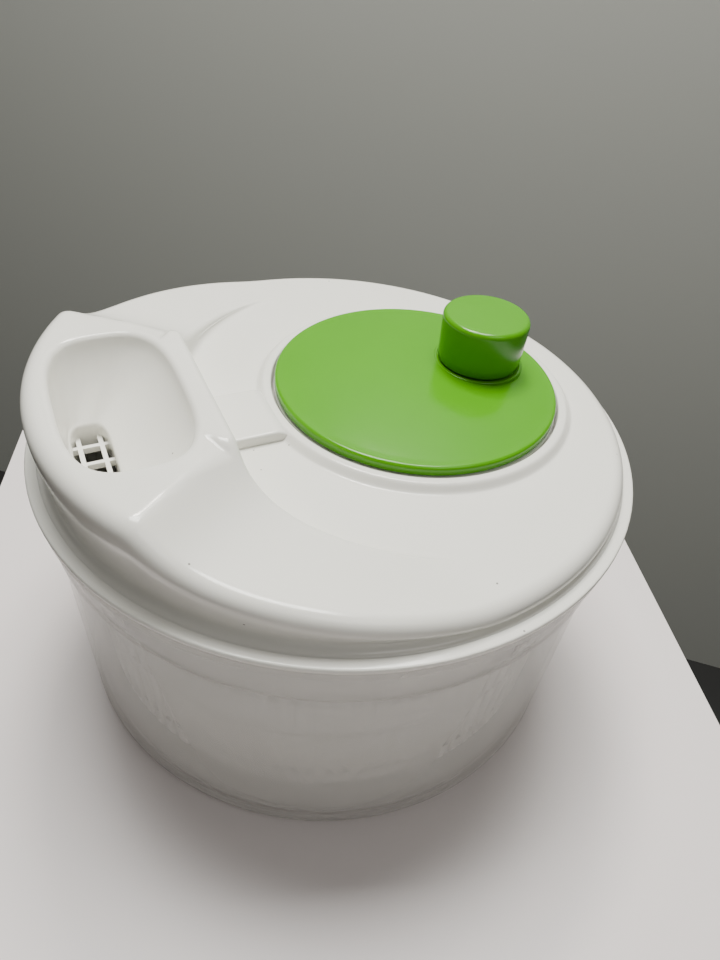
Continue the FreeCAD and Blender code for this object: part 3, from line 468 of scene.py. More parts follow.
@dataclass
class LidShell:
    """The lid's glossy top shell: platform, raised funnel housing, hollow flanks, collar and well.

    The surface is laid out in rings and spokes about the crank disc's axis, because the collar, the
    well and the long crease are all centred there. Every spoke runs from the well's bore out to the
    lid's edge and down its skirt.
    """

    spokes: int = 360
    platform: float = 134.0 * MM
    edge_radius: float = 119.5 * MM
    edge_round: float = 5.5 * MM
    housing_edge_round: float = 6.2 * MM
    housing_flare: float = 1.0 * MM
    skirt_hollow: float = 2.0 * MM
    skirt_hollow_height: float = 3.2 * MM
    brim_top: float = 125.2 * MM
    rise_start: float = 8 * MM
    rise_blend: float = 16 * MM
    rise: float = 0.135
    housing_top: float = 158.2 * MM
    housing_wall_x: float = -55.5 * MM
    housing_corner: tuple[float, float] = (-98.5 * MM, 66.5 * MM)
    housing_inner_corner: tuple[float, float] = (-56 * MM, 35 * MM)
    flank_run: float = 13 * MM
    flank_power: float = 1.3
    crease_radius: float = 101 * MM
    wall_foot: float = 3.5 * MM
    wall_shoulder: float = 3.0 * MM
    well_radius: float = 62.4 * MM
    well_floor: float = 127.5 * MM
    bore_radius: float = 7.0 * MM
    collar_top: float = 137.2 * MM
    collar_flat: float = 65.4 * MM
    collar_foot: float = 69.0 * MM
    shell_thickness: float = 2.0 * MM
    mouth_centre: float = -87.5 * MM
    mouth_half_length: float = 24.8 * MM
    mouth_half_width: float = 43.8 * MM
    mouth_power: float = 3.1
    mouth_round: float = 2.6 * MM
    drain_centre: float = -99.3 * MM
    drain_half_length: float = 10.6 * MM
    drain_half_width: float = 26 * MM
    drain_power: float = 4.0
    drain_height: float = 131 * MM
    drain_foot: float = 117.2 * MM
    drain_round: float = 0.8 * MM
    funnel_steps: int = 22
    mouth_margin: float = 3 * MM
    mouth_shoulder: float = 17 * MM
    bridge_half_width: float = 15.5 * MM
    bridge_rise: float = 4.5 * MM
    bridge_round: float = 1.2 * MM
    lip_round: float = 0.8 * MM
    well_rings: int = 15
    raised_rings: int = 29
    edge_rings: int = 8
    side_rings: int = 6
    flare_rings: int = 5
    disc_centre: float = field(init=False)

    def __post_init__(self) -> None:
        """Reads the disc's axis from the frame."""
        low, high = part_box("crank_disc")
        self.disc_centre = (low.x + high.x) / 2

    def ridge(self, x: float) -> float:
        """The height of the lid outside the crease, which rises towards the funnel."""
        along = self.rise_start - x
        if along <= 0:
            return self.platform
        if along < self.rise_blend:
            return self.platform + self.rise * along * along / (2 * self.rise_blend)
        return self.platform + self.rise * (along - self.rise_blend / 2)

    def raised_height(self, x: float, y: float) -> float:
        """The height outside the crease, with the funnel's housing and its hollow flanks."""
        base = self.ridge(x)
        corner, inner = Vector(self.housing_corner), Vector(self.housing_inner_corner)
        along = (inner - corner).normalized()
        outwards = Vector((-along.y, along.x))
        if outwards.x < 0:
            outwards = -outwards
        away = (Vector((x, abs(y))) - corner).dot(outwards)
        share = 1.0 if away <= 0 else math.exp(-((away / self.flank_run) ** self.flank_power))
        return base + (self.housing_top - base) * share

    def to_lid_circle(self, turn: float, radius: float) -> float:
        """How far a spoke runs from the disc's axis to a circle about the lid's axis."""
        offset = self.disc_centre * math.cos(turn)
        return -offset + math.sqrt(offset * offset - self.disc_centre**2 + radius * radius)

    def crease(self, turn: float) -> float:
        """Where the crease, or the funnel housing's wall, crosses a spoke.

        Args:
            turn: The spoke's direction about the disc's axis.

        Returns:
            The distance from the disc's axis.
        """
        reach = self.crease_radius
        towards_funnel = -math.cos(turn)
        if towards_funnel > 0.1:
            wall = (self.disc_centre - self.housing_wall_x) / towards_funnel
            soft = 1.2 * MM
            gap = (wall - reach) / soft
            if gap < 30:
                reach = reach - soft * math.log1p(math.exp(-gap)) if gap > -30 else wall
        room = self.to_lid_circle(turn, self.edge_radius - self.edge_round)
        most = self.collar_foot + 0.72 * (room - self.collar_foot)
        soft = 3 * MM
        gap = (most - reach) / soft
        if gap > 30:
            return reach
        if gap < -30:
            return most
        return reach - soft * math.log1p(math.exp(-gap))

    def spoke(self, turn: float) -> list[Vector]:
        """The points of one spoke, from the well's bore to the skirt's foot.

        Args:
            turn: The spoke's direction about the disc's axis.

        Returns:
            The same number of points for every spoke.
        """
        ahead, aside = math.cos(turn), math.sin(turn)

        def at(reach: float, height: float) -> Vector:
            """A point of this spoke."""
            return Vector((self.disc_centre + reach * ahead, reach * aside, height))

        def raised(reach: float) -> float:
            """The raised surface's height at a reach along this spoke."""
            return self.raised_height(self.disc_centre + reach * ahead, reach * aside)

        points = [
            at(
                blend_between(
                    self.bore_radius, self.well_radius - 1.2 * MM, k / (self.well_rings - 1)
                ),
                self.well_floor,
            )
            for k in range(self.well_rings)
        ]
        points += [at(self.well_radius - 0.35 * MM, self.well_floor + 0.35 * MM)]
        points += [
            at(
                self.well_radius,
                blend_between(self.well_floor + 1.2 * MM, self.collar_top - self.lip_round, k / 3),
            )
            for k in range(4)
        ]
        lip_centre = (self.well_radius + self.lip_round, self.collar_top - self.lip_round)
        lip = arc(lip_centre, self.lip_round, 180, 90, 4)[1:]
        points += [at(reach, height) for reach, height in lip]
        points += [
            at(blend_between(lip[-1][0], self.collar_flat, k / 3), self.collar_top) for k in (1, 2)
        ]
        for k in range(9):
            share = k / 8
            drop = self.collar_top - self.platform
            points.append(at(
                blend_between(self.collar_flat, self.collar_foot, share),
                self.collar_top - drop * eased(share),
            ))
        rim_height = raised(self.to_lid_circle(turn, self.edge_radius))
        tall = eased((rim_height - self.platform - 9 * MM) / (14 * MM))
        rounding = blend_between(self.edge_round, self.housing_edge_round, tall)
        rim = self.edge_radius + self.housing_flare * tall
        start = self.to_lid_circle(turn, rim - rounding)
        crease = self.crease(turn)
        shoulder = min(crease + self.wall_shoulder, start - 1 * MM)
        crease = min(crease, shoulder - 1 * MM)
        foot = max(crease - self.wall_foot, self.collar_foot + 1 * MM)
        points += [
            at(blend_between(self.collar_foot, foot, k / 14), self.platform) for k in range(1, 14)
        ]
        step = raised(shoulder) - self.platform
        low_share = min(0.5, 4 * MM / step) if step > 8 * MM else 0.5
        for k in range(7):
            bend = math.radians(15 * k)
            points.append(at(
                blend_between(foot, crease - 0.15 * MM, math.sin(bend)),
                self.platform + step * low_share * (1 - math.cos(bend)),
            ))
        high_share = 1 - (min(0.5, 3 * MM / step) if step > 6 * MM else 0.5)
        for k in range(7):
            bend = math.radians(15 * k)
            points.append(at(
                blend_between(crease + 0.15 * MM, shoulder, 1 - math.cos(bend)),
                self.platform + step * blend_between(high_share, 1.0, math.sin(bend)),
            ))
        for k in range(1, self.raised_rings + 1):
            reach = blend_between(shoulder, start, k / self.raised_rings)
            points.append(at(reach, raised(reach)))
        for k in range(1, self.edge_rings + 1):
            bend = math.radians(90 * k / self.edge_rings)
            reach = self.to_lid_circle(turn, rim - rounding * (1 - math.sin(bend)))
            points.append(at(reach, raised(reach) - rounding * (1 - math.cos(bend))))
        side_top = rim_height - rounding
        hollow = self.brim_top + self.skirt_hollow_height
        for k in range(1, self.side_rings + 1):
            share = k / self.side_rings
            reach = self.to_lid_circle(
                turn, blend_between(rim, self.edge_radius - self.skirt_hollow, eased(share))
            )
            points.append(at(reach, blend_between(side_top, hollow, share)))
        for k in range(1, self.flare_rings + 1):
            bend = math.radians(90 * k / self.flare_rings)
            reach = self.to_lid_circle(
                turn,
                self.edge_radius - self.skirt_hollow + self.skirt_hollow_height * (1 - math.cos(bend)),
            )
            points.append(at(reach, hollow - self.skirt_hollow_height * math.sin(bend)))
        return points

    def laid_out(self) -> tuple[bmesh.types.BMesh, dict[tuple[int, int], bmesh.types.BMVert], int]:
        """Spins a straight line of points and moves each point to its place on the lid.

        Returns:
            The bmesh, its vertices by ring and spoke, and the number of rings.
        """
        rings = len(self.spoke(0.0))
        bm = bmesh.new()
        line = [bm.verts.new((1.0 + k, 0, 0)) for k in range(rings)]
        edges = [bm.edges.new(pair) for pair in zip(line, line[1:])]
        bmesh.ops.spin(
            bm, geom=line + edges, cent=(0, 0, 0), axis=(0, 0, 1), angle=FULL_TURN,
            steps=self.spokes, use_merge=True, use_duplicate=False,
        )
        bmesh.ops.remove_doubles(bm, verts=bm.verts, dist=1e-4)
        spokes = [self.spoke(FULL_TURN * k / self.spokes) for k in range(self.spokes)]
        grid: dict[tuple[int, int], bmesh.types.BMVert] = {}
        for vert in bm.verts:
            ring = round(vert.co.xy.length) - 1
            number = round(math.atan2(vert.co.y, vert.co.x) / FULL_TURN * self.spokes) % self.spokes
            grid[(ring, number)] = vert
        for (ring, number), vert in grid.items():
            vert.co = spokes[number][ring]
        bmesh.ops.recalc_face_normals(bm, faces=bm.faces)
        return bm, grid, rings

    def open_block(
        self,
        bm: bmesh.types.BMesh,
        grid: dict[tuple[int, int], bmesh.types.BMVert],
        rings: tuple[int, int],
        numbers: Sequence[int],
        levels: Sequence[Callable[[Vector], Vector]],
    ) -> None:
        """Removes a block of faces and leads its border on through a series of outlines.

        Args:
            bm: The lid's bmesh.
            grid: Its vertices by ring and spoke.
            rings: The block's first and last ring.
            numbers: The block's spokes in order.
            levels: For each new outline, where a border vertex goes.
        """
        first, last = rings
        loop = [grid[(first, n)] for n in numbers]
        loop += [grid[(r, numbers[-1])] for r in range(first + 1, last + 1)]
        loop += [grid[(last, n)] for n in reversed(numbers[:-1])]
        loop += [grid[(r, numbers[0])] for r in range(last - 1, first, -1)]
        block = {grid[(r, n)] for r in range(first, last + 1) for n in numbers}
        doomed = [face for face in bm.faces if all(v in block for v in face.verts)]
        bmesh.ops.delete(bm, geom=doomed, context="FACES")
        loose = [v for v in block if v.is_valid and not v.link_faces]
        bmesh.ops.delete(bm, geom=loose, context="VERTS")
        places = [v.co.copy() for v in loop]
        for level in levels:
            pairs = zip(loop, loop[1:] + loop[:1])
            border = [bm.edges.get(pair) for pair in pairs]
            keyed = {tuple(round(c, 7) for c in v.co): k for k, v in enumerate(loop)}
            grown = bmesh.ops.extrude_edge_only(bm, edges=border)["geom"]
            fresh = [g for g in grown if isinstance(g, bmesh.types.BMVert)]
            order = {keyed[tuple(round(c, 7) for c in v.co)]: v for v in fresh}
            loop = [order[k] for k in range(len(loop))]
            for vert, place in zip(loop, places):
                vert.co = level(place)

    def mouth_section(self, place: Vector, share: float, inset: float, height: float) -> Vector:
        """Where a border vertex goes on a section of the funnel.

        Args:
            place: The vertex's place on the block's border.
            share: 0 at the mouth's outline, 1 at the drain's.
            inset: How much the section lies inside its outline.
            height: The section's height.

        Returns:
            The point in the same direction from the funnel's middle.
        """
        heading = math.atan2(
            place.y / self.mouth_half_width, (place.x - self.mouth_centre) / self.mouth_half_length
        )
        ahead, aside = math.cos(heading), math.sin(heading)

        def rounded(centre: float, half_length: float, half_width: float, power: float) -> Vector:
            """The point of a rounded rectangle in this heading."""
            square = (abs(ahead) ** power + abs(aside) ** power) ** (-1 / power)
            return Vector((centre + half_length * ahead * square, half_width * aside * square))

        mouth = rounded(
            self.mouth_centre, self.mouth_half_length - inset, self.mouth_half_width - inset,
            self.mouth_power,
        )
        drain = rounded(
            self.drain_centre, self.drain_half_length - inset, self.drain_half_width - inset,
            self.drain_power,
        )
        spot = mouth.lerp(drain, share)
        return Vector((spot.x, spot.y, height))

    def funnel_levels(self) -> list[Callable[[Vector], Vector]]:
        """The outlines of the funnel, from its rounded mouth down to the drain's foot."""

        def section(share: float, inset: float, height: float) -> Callable[[Vector], Vector]:
            """One level that reads the border's place."""
            return lambda place: self.mouth_section(place, share, inset, height)

        def towards_mouth(share: float) -> Callable[[Vector], Vector]:
            """A level on the housing's top, part of the way to the mouth."""
            return lambda place: place.lerp(self.mouth_section(place, 0, 0, self.housing_top), share)

        levels = [towards_mouth(0.4), towards_mouth(0.8)]
        rounding = self.mouth_round
        for k in range(7):
            bend = math.radians(13 * k)
            levels.append(section(
                0, rounding * math.sin(bend), self.housing_top - rounding * (1 - math.cos(bend))
            ))
        top, low = levels[-1](Vector((0, 0, 0))).z, self.drain_height
        for k in range(1, self.funnel_steps + 1):
            way = k / self.funnel_steps
            share = way ** 1.12 if way < 0.9 else blend_between(0.9 ** 1.12, 1.0, (way - 0.9) / 0.1)
            drop = way ** 0.82
            levels.append(section(share, rounding, blend_between(top, low, drop)))
        for k in range(1, 6):
            bend = math.radians(15 * k)
            inset = rounding + self.drain_round * math.sin(bend)
            levels.append(
                section(1, inset, low - 1.2 * MM * (1 - math.cos(bend)) - 0.15 * MM * k)
            )
        for k in range(1, 5):
            height = blend_between(low - 2 * MM, self.drain_foot, k / 4)
            levels.append(section(1, rounding + self.drain_round, height))
        return levels

    def bridge(self) -> bmesh.types.BMesh:
        """The raised block between the funnel's housing and the collar, with soft edges."""
        half, top = self.bridge_half_width, self.platform + self.bridge_rise
        near = self.disc_centre - self.well_radius
        low = self.platform - 1.5 * MM
        bm = bmesh.new()
        corners = [
            (self.housing_wall_x - 2.5 * MM, low), (self.housing_wall_x - 2.5 * MM, top),
            (near - 6 * MM, top), (near - 2.4 * MM, self.collar_top - 0.2 * MM), (near - 2.4 * MM, low),
        ]
        verts = [bm.verts.new((x, -half, z)) for x, z in corners]
        face = bm.faces.new(verts)
        grown = bmesh.ops.extrude_face_region(bm, geom=[face])["geom"]
        moved = [g for g in grown if isinstance(g, bmesh.types.BMVert)]
        bmesh.ops.translate(bm, verts=moved, vec=(0, 2 * half, 0))
        bmesh.ops.recalc_face_normals(bm, faces=bm.faces)
        upper = [e for e in bm.edges if all(v.co.z > self.platform for v in e.verts)]
        bevelled(bm, upper, self.bridge_round, 3)
        return bm

    def build(self) -> tuple[bpy.types.Object, bpy.types.Object]:
        """Makes the shell with its thickness, and the block between housing and collar."""
        bm, grid, rings = self.laid_out()
        opening = self.funnel_block(rings)
        self.open_block(bm, grid, opening[0], opening[1], self.funnel_levels())
        bore = self.bore_block(grid)
        self.open_block(bm, grid, bore[0], bore[1], [self.to_bore])
        bmesh.ops.recalc_face_normals(bm, faces=bm.faces)
        if sum(face.normal.z * face.calc_area() for face in bm.faces) < 0:
            bmesh.ops.reverse_faces(bm, faces=bm.faces)
        piece = finished_piece(bm, "lid_top_shell", 60)
        thickened(piece, self.shell_thickness)
        block = finished_piece(self.bridge(), "lid_bridge_block", 60)
        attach(block, "lid")
        return piece, block

    def funnel_block(self, rings: int) -> tuple[tuple[int, int], list[int]]:
        """The block of rings and spokes that the funnel's mouth opens."""
        half = self.spokes // 2
        last = rings - 1 - self.edge_rings - self.side_rings - self.flare_rings
        first = last - self.raised_rings + 1
        inner_side = self.disc_centre - self.mouth_centre - self.mouth_shoulder
        half_angle = math.atan2(self.mouth_half_width + self.mouth_margin, inner_side)
        spread = round(half_angle / FULL_TURN * self.spokes)
        return (first, last), list(range(half - spread, half + spread + 1))

    def bore_block(
        self, grid: dict[tuple[int, int], bmesh.types.BMVert]
    ) -> tuple[tuple[int, int], list[int]]:
        """The block in the well's floor that the pinion's bush passes through."""
        half = self.spokes // 2
        reach = [grid[(ring, half)].co.x for ring in range(self.well_rings)]
        inside = [k for k, x in enumerate(reach) if abs(x) < self.bore_radius + 4 * MM]
        spread = round(self.spokes * (self.bore_radius + 3 * MM) / (FULL_TURN * self.disc_centre))
        return (inside[0], inside[-1]), list(range(half - spread, half + spread + 1))

    def to_bore(self, place: Vector) -> Vector:
        """Where a border vertex goes on the pinion bush's hole, centred on the lid's axis."""
        spot = Vector((place.x, place.y)).normalized() * self.bore_radius
        return Vector((spot.x, spot.y, place.z))


@dataclass
class Lid:
    """The lid: top shell, tray with the brim, sieve in the funnel's neck, bushes and screws."""

    dresser: Dresser
    brim_round: float = 0.45 * MM
    brim_band: float = 0.8 * MM

    def tray(self) -> bpy.types.Object:
        """The design's tray with the brim's outer corners rounded over."""
        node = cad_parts["lid_tray"]
        _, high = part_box("lid_tray")
        bm = bmesh.new()
        bm.from_mesh(node.data)
        bmesh.ops.transform(bm, matrix=node.matrix_world, verts=bm.verts)
        bmesh.ops.remove_doubles(bm, verts=bm.verts, dist=1e-6)
        corners = [
            edge for edge in bm.edges
            if all(vert.co.xy.length > high.x - self.brim_band for vert in edge.verts)
            and abs(edge.verts[0].co.z - edge.verts[1].co.z) < 1e-6
            and len(edge.link_faces) == 2 and edge.calc_face_angle(0.0) > math.radians(30)
        ]
        log.info("brim corners: %d edges", len(corners))
        bevelled(bm, corners, self.brim_round, 3)
        return finished_piece(bm, "lid_tray_rounded", 40)

    def build(self) -> None:
        """Builds the lid's pieces and dresses its carried-over nodes."""
        shell, block = LidShell().build()
        self.dresser.dress(block, Finish.WHITE)
        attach(shell, "lid")
        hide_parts("lid_shell")
        self.dresser.dress(shell, Finish.WHITE)
        log.info("lid shell with %d faces", len(shell.data.polygons))
        tray = self.tray()
        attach(tray, "lid")
        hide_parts("lid_tray")
        self.dresser.dress(tray, Finish.WHITE)
        self.dresser.dress_nodes(["funnel_grid"], Finish.WHITE)
        self.dresser.dress_nodes(["spindle_bush", "crank_bush"], Finish.ACETAL)
        self.dresser.dress_nodes(["lid_screws"], Finish.STEEL)


# ------------------------------------------------------------------ crank, knob and driver


@dataclass
class Crank:
    """The domed green disc with its rolled edge, and the flared knob on it."""

    dresser: Dresser
    rise: float = 3.4 * MM
    edge_top: float = 140.4 * MM
    edge_height: float = 4.0 * MM
    edge_round: float = 1.6 * MM
    edge_wall: float = 1.8 * MM
    skin: float = 2.2 * MM
    seat_radius: float = 19.8 * MM
    seat_top: float = 143.8 * MM
    seat_round: float = 0.6 * MM
    knob_foot: float = 144.2 * MM
    knob_wall: float = 2.2 * MM
    knob_flare: float = 0.7 * MM
    knob_round: float = 2.3 * MM
    steps: int = 160

    def disc(self) -> bpy.types.Object:
        """The disc: dome, rounded edge, underside, and the raised ring round the knob."""
        low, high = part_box("crank_disc")
        centre = (low.x + high.x) / 2
        radius = (high.x - low.x) / 2
        edge_top, rounding = self.edge_top, self.edge_round
        edge_low = edge_top - self.edge_height
        crown = edge_top + self.rise
        reach = radius - 2.4 * MM
        dome = [(reach * k / 24, crown - (crown - edge_top) * (k / 24) ** 2.2) for k in range(25)]
        edge = arc((radius - rounding, edge_top - 1.5 * MM), rounding, 80, 0, 8)
        skirt, underside = radius - self.edge_wall, edge_top - self.skin
        under = [
            (radius, edge_low + 0.5 * MM), (radius - 0.4 * MM, edge_low), (skirt, edge_low),
            (skirt, underside), (0.0, underside),
        ]
        bm = turned_bmesh([*dome, *edge, *under], centre, self.steps)
        knob_low, knob_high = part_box("crank_knob")
        knob_centre = (knob_low.x + knob_high.x) / 2
        ring, seat, soft = self.seat_radius, self.seat_top, self.seat_round
        bead = [
            (0.0, edge_top), (ring, edge_top), *arc((ring - soft, seat - soft), soft, 0, 90, 4),
            (ring - 2 * soft, seat), (ring - 1.6 * MM, seat - 0.5 * MM), (0.0, seat - 0.5 * MM),
        ]
        joined_bmesh(bm, turned_bmesh(bead, knob_centre, 72))
        return finished_piece(bm, "crank_disc_cover", 50)

    def knob(self) -> bpy.types.Object:
        """The knob: a cup that flares upwards, with a soft shoulder and a faintly crowned top."""
        low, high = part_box("crank_knob")
        centre = (low.x + high.x) / 2
        top_radius = (high.x - low.x) / 2
        foot_radius = top_radius - self.knob_flare
        foot, wall = self.knob_foot, self.knob_wall
        top = high.z - 0.4 * MM
        roof = top - wall
        crown = [
            (0.0, high.z), (top_radius * 0.4, high.z - 0.08 * MM), (top_radius * 0.75, top + 0.1 * MM),
        ]
        soft = self.knob_round
        shoulder = arc((top_radius - soft, top - soft), soft, 84, 0, 9)
        outline = [
            *crown, *shoulder, (foot_radius + 0.15 * MM, foot + 4 * MM), (foot_radius, foot + 0.5 * MM),
            (foot_radius - 0.5 * MM, foot), (foot_radius - wall, foot),
            (foot_radius - wall, roof - 2 * MM), (foot_radius - wall - 2 * MM, roof), (0.0, roof),
        ]
        return finished_piece(turned_bmesh(outline, centre, 112), "knob_cap", 50)

    def build(self) -> None:
        """Builds the disc and the knob and dresses the pieces under them."""
        disc = self.disc()
        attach(disc, "crank")
        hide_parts("crank_disc")
        self.dresser.dress(disc, Finish.GREEN)
        knob = self.knob()
        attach(knob, "knob")
        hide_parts("crank_knob")
        self.dresser.dress(knob, Finish.GREEN)
        self.dresser.dress_nodes(["ring_gear"], Finish.WHITE)
        self.dresser.dress_nodes(
            ["ring_gear_screws", "crank_washer", "crank_screw", "knob_washer", "knob_screw"],
            Finish.STEEL,
        )
        log.info("crank disc and knob")


@dataclass
class Driver:
    """The pinion, its stem and the four-armed driver under the lid."""

    dresser: Dresser

    def build(self) -> None:
        """Dresses the driver's nodes, whose design shapes are right as they are."""
        self.dresser.dress_nodes(["pinion_gear"], Finish.ACETAL)
        self.dresser.dress_nodes(["basket_driver"], Finish.BASKET)
        self.dresser.dress_nodes(["spindle_washer", "spindle_screw"], Finish.STEEL)


# ------------------------------------------------------------------ bowl and basket


@dataclass
class Bowl:
    """The milky bowl: ring foot, slight draft, a stepped collar, a rolled rim and the centre pin."""

    dresser: Dresser
    wall: float = 1.8 * MM
    base_radius: float = 116.8 * MM
    step_height: float = 100 * MM
    step_radius: float = 121.3 * MM
    below_step: float = 119.7 * MM
    corner: float = 4 * MM
    foot_height: float = 2.4 * MM
    floor_thickness: float = 2.2 * MM
    band_top: float = 5.4 * MM
    pin_radius: float = 3 * MM
    pin_top: float = 24 * MM
    cone_radius: float = 13 * MM
    steps: int = 200

    def outline(self) -> list[tuple[float, float]]:
        """The bowl's section, round its outside and back along its inside."""
        _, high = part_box("bowl")
        rim = high.x
        top = high.z
        wall = self.wall
        floor = self.foot_height
        base = self.base_radius
        foot_of_wall = base + 0.35 * MM
        floor_top = floor + self.floor_thickness
        outside = [
            (0.0, floor + 9.6 * MM), (4.3 * MM, floor + 9.6 * MM), (10.8 * MM, floor),
            (base - 9 * MM, floor), (base - 8 * MM, 0.4 * MM), (base - 7.5 * MM, 0.0),
            *arc((base - self.corner, self.corner), self.corner, -90, 0, 6),
            (base + 0.5 * MM, 4.6 * MM), (foot_of_wall, self.band_top),
        ]
        climb = 8
        for k in range(1, climb + 1):
            share = k / climb
            outside.append((
                blend_between(foot_of_wall, self.below_step, share ** 0.8),
                blend_between(self.band_top, self.step_height, share),
            ))
        outside += [
            (self.below_step + 0.9 * MM, self.step_height + 0.5 * MM),
            (self.step_radius, self.step_height + 1.6 * MM),
            (self.step_radius + 0.3 * MM, top - 5.2 * MM),
            (rim - 0.4 * MM, top - 4.8 * MM), (rim, top - 4.4 * MM), (rim, top - 0.4 * MM),
            (rim - 0.4 * MM, top), (self.step_radius - 1.1 * MM, top),
            (self.step_radius - 1.5 * MM, top - 0.4 * MM),
        ]
        inside = [
            (self.step_radius - wall + 0.3 * MM, self.step_height + 2.4 * MM),
            (self.below_step - wall, self.step_height + 0.4 * MM),
        ]
        for k in range(climb - 1, 0, -1):
            share = k / climb
            inside.append((
                blend_between(foot_of_wall, self.below_step, share ** 0.8) - wall,
                blend_between(7 * MM, self.step_height, share),
            ))
        inside += [
            *arc((base - 6.5 * MM, floor_top + 5 * MM), 5 * MM, 0, -90, 6),
            (self.cone_radius, floor_top), (6.5 * MM, 14 * MM), (self.pin_radius, 14 * MM),
            (self.pin_radius, self.pin_top - 0.8 * MM), (self.pin_radius - 0.8 * MM, self.pin_top),
            (0.0, self.pin_top),
        ]
        return [*outside, *inside]

    def build(self) -> None:
        """Builds the bowl."""
        piece = finished_piece(turned_bmesh(self.outline(), 0, self.steps), "outer_bowl", 40)
        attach(piece, "bowl")
        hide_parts("bowl")
        self.dresser.dress(piece, Finish.MILKY)
        log.info("bowl with %d faces", len(piece.data.polygons))


@dataclass
class Basket:
    """The basket: a drafted wall of staggered upright slots, a plain floor, a rim and its collar."""

    dresser: Dresser
    slots: int = 93
    slot_width: float = 3.7 * MM
    rows: tuple[tuple[float, float], ...] = (
        (17.0 * MM, 27.5 * MM), (30.5 * MM, 55.5 * MM), (58.5 * MM, 81.0 * MM)
    )
    floor_radius: float = 106 * MM
    rim_inner: float = 110.5 * MM
    rim_outer: float = 113.2 * MM
    rim_low: float = 103 * MM
    rim_top: float = 105 * MM
    floor_round: float = 3 * MM
    hub_radius: float = 11 * MM
    hub_bore: float = 8 * MM
    hub_height: float = 17 * MM
    notches: int = 12
    notch_width: float = 9 * MM
    collar_round: float = 0.4 * MM
    wall: float = 1.6 * MM

    def radius_at(self, height: float) -> float:
        """The wall's outer radius at a height."""
        low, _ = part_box("basket")
        foot = low.z + self.floor_round
        share = (height - foot) / (self.rim_low - foot)
        return blend_between(self.floor_radius, self.rim_inner, min(1.0, max(0.0, share)))

    def slotted_wall(self) -> bmesh.types.BMesh:
        """One upright strip of the wall with its slots, repeated all the way round."""
        low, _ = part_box("basket")
        half_pitch = math.pi / self.slots
        half_slot = self.slot_width / 2 / self.floor_radius
        columns = [
            -half_pitch, -half_pitch + half_slot, -half_slot,
            half_slot, half_pitch - half_slot, half_pitch,
        ]
        heights = [low.z + self.floor_round]
        for bottom, top in self.rows:
            heights += [bottom, bottom + 0.7 * MM, top - 0.7 * MM, top]
        heights += [92 * MM, self.rim_low]
        bm = bmesh.new()
        grid = {}
        for i, height in enumerate(heights):
            radius = self.radius_at(height)
            for j, turn in enumerate(columns):
                grid[(i, j)] = bm.verts.new((radius * math.cos(turn), radius * math.sin(turn), height))
        for i in range(len(heights) - 1):
            row, part = divmod(i - 1, 4)
            open_row = 0 <= row < len(self.rows) and part in (0, 1, 2) and i >= 1
            for j in range(len(columns) - 1):
                staggered = row % 2 == 1
                is_slot = open_row and ((j == 2) if not staggered else j in (0, 4))
                if not is_slot:
                    corners = [(i, j), (i, j + 1), (i + 1, j + 1), (i + 1, j)]
                    bm.faces.new([grid[corner] for corner in corners])
        bmesh.ops.spin(
            bm, geom=bm.verts[:] + bm.edges[:] + bm.faces[:], cent=(0, 0, 0), axis=(0, 0, 1),
            angle=FULL_TURN * (self.slots - 1) / self.slots, steps=self.slots - 1,
            use_merge=False, use_duplicate=True,
        )
        bmesh.ops.remove_doubles(bm, verts=bm.verts, dist=1e-5)
        bmesh.ops.recalc_face_normals(bm, faces=bm.faces)
        outwards = sum(f.normal.dot(Vector((*f.calc_center_median().xy, 0))) for f in bm.faces)
        if outwards < 0:
            bmesh.ops.reverse_faces(bm, faces=bm.faces)
        return bm

    def collar(self) -> bmesh.types.BMesh:
        """The collar above the rim: raised stretches with the driver's notches between them."""
        _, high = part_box("basket")
        inner, foot = self.rim_inner - self.wall, self.rim_top - 0.4 * MM
        notch = self.notch_width / self.rim_inner
        corners = [
            (inner, foot), (self.rim_inner, foot), (self.rim_inner, high.z - self.collar_round),
            (self.rim_inner - self.collar_round, high.z), (inner + self.collar_round, high.z),
            (inner, high.z - self.collar_round),
        ]
        bm = bmesh.new()
        verts = [
            bm.verts.new((reach * math.cos(notch / 2), reach * math.sin(notch / 2), height))
            for reach, height in corners
        ]
        edges = [bm.edges.new(pair) for pair in zip(verts, verts[1:] + verts[:1])]
        bmesh.ops.spin(
            bm, geom=verts + edges, cent=(0, 0, 0), axis=(0, 0, 1),
            angle=FULL_TURN / self.notches - notch, steps=10, use_merge=False, use_duplicate=False,
        )
        bmesh.ops.holes_fill(bm, edges=[edge for edge in bm.edges if edge.is_boundary], sides=0)
        bmesh.ops.recalc_face_normals(bm, faces=bm.faces)
        bmesh.ops.spin(
            bm, geom=bm.verts[:] + bm.edges[:] + bm.faces[:], cent=(0, 0, 0), axis=(0, 0, 1),
            angle=FULL_TURN * (self.notches - 1) / self.notches, steps=self.notches - 1,
            use_merge=False, use_duplicate=True,
        )
        return bm

    def rim(self) -> bmesh.types.BMesh:
        """The rim's flange."""
        outer, low, top = self.rim_outer, self.rim_low, self.rim_top
        wall_outer, inner = self.rim_inner, self.rim_inner - self.wall
        outline = [
            (inner, low - 1 * MM), (wall_outer, low - 1 * MM), (wall_outer, low),
            (outer - 0.4 * MM, low), (outer, low + 0.4 * MM), (outer, top - 0.4 * MM),
            (outer - 0.4 * MM, top), (wall_outer, top), (inner, top),
        ]
        return turned_bmesh(outline, 0, 186)

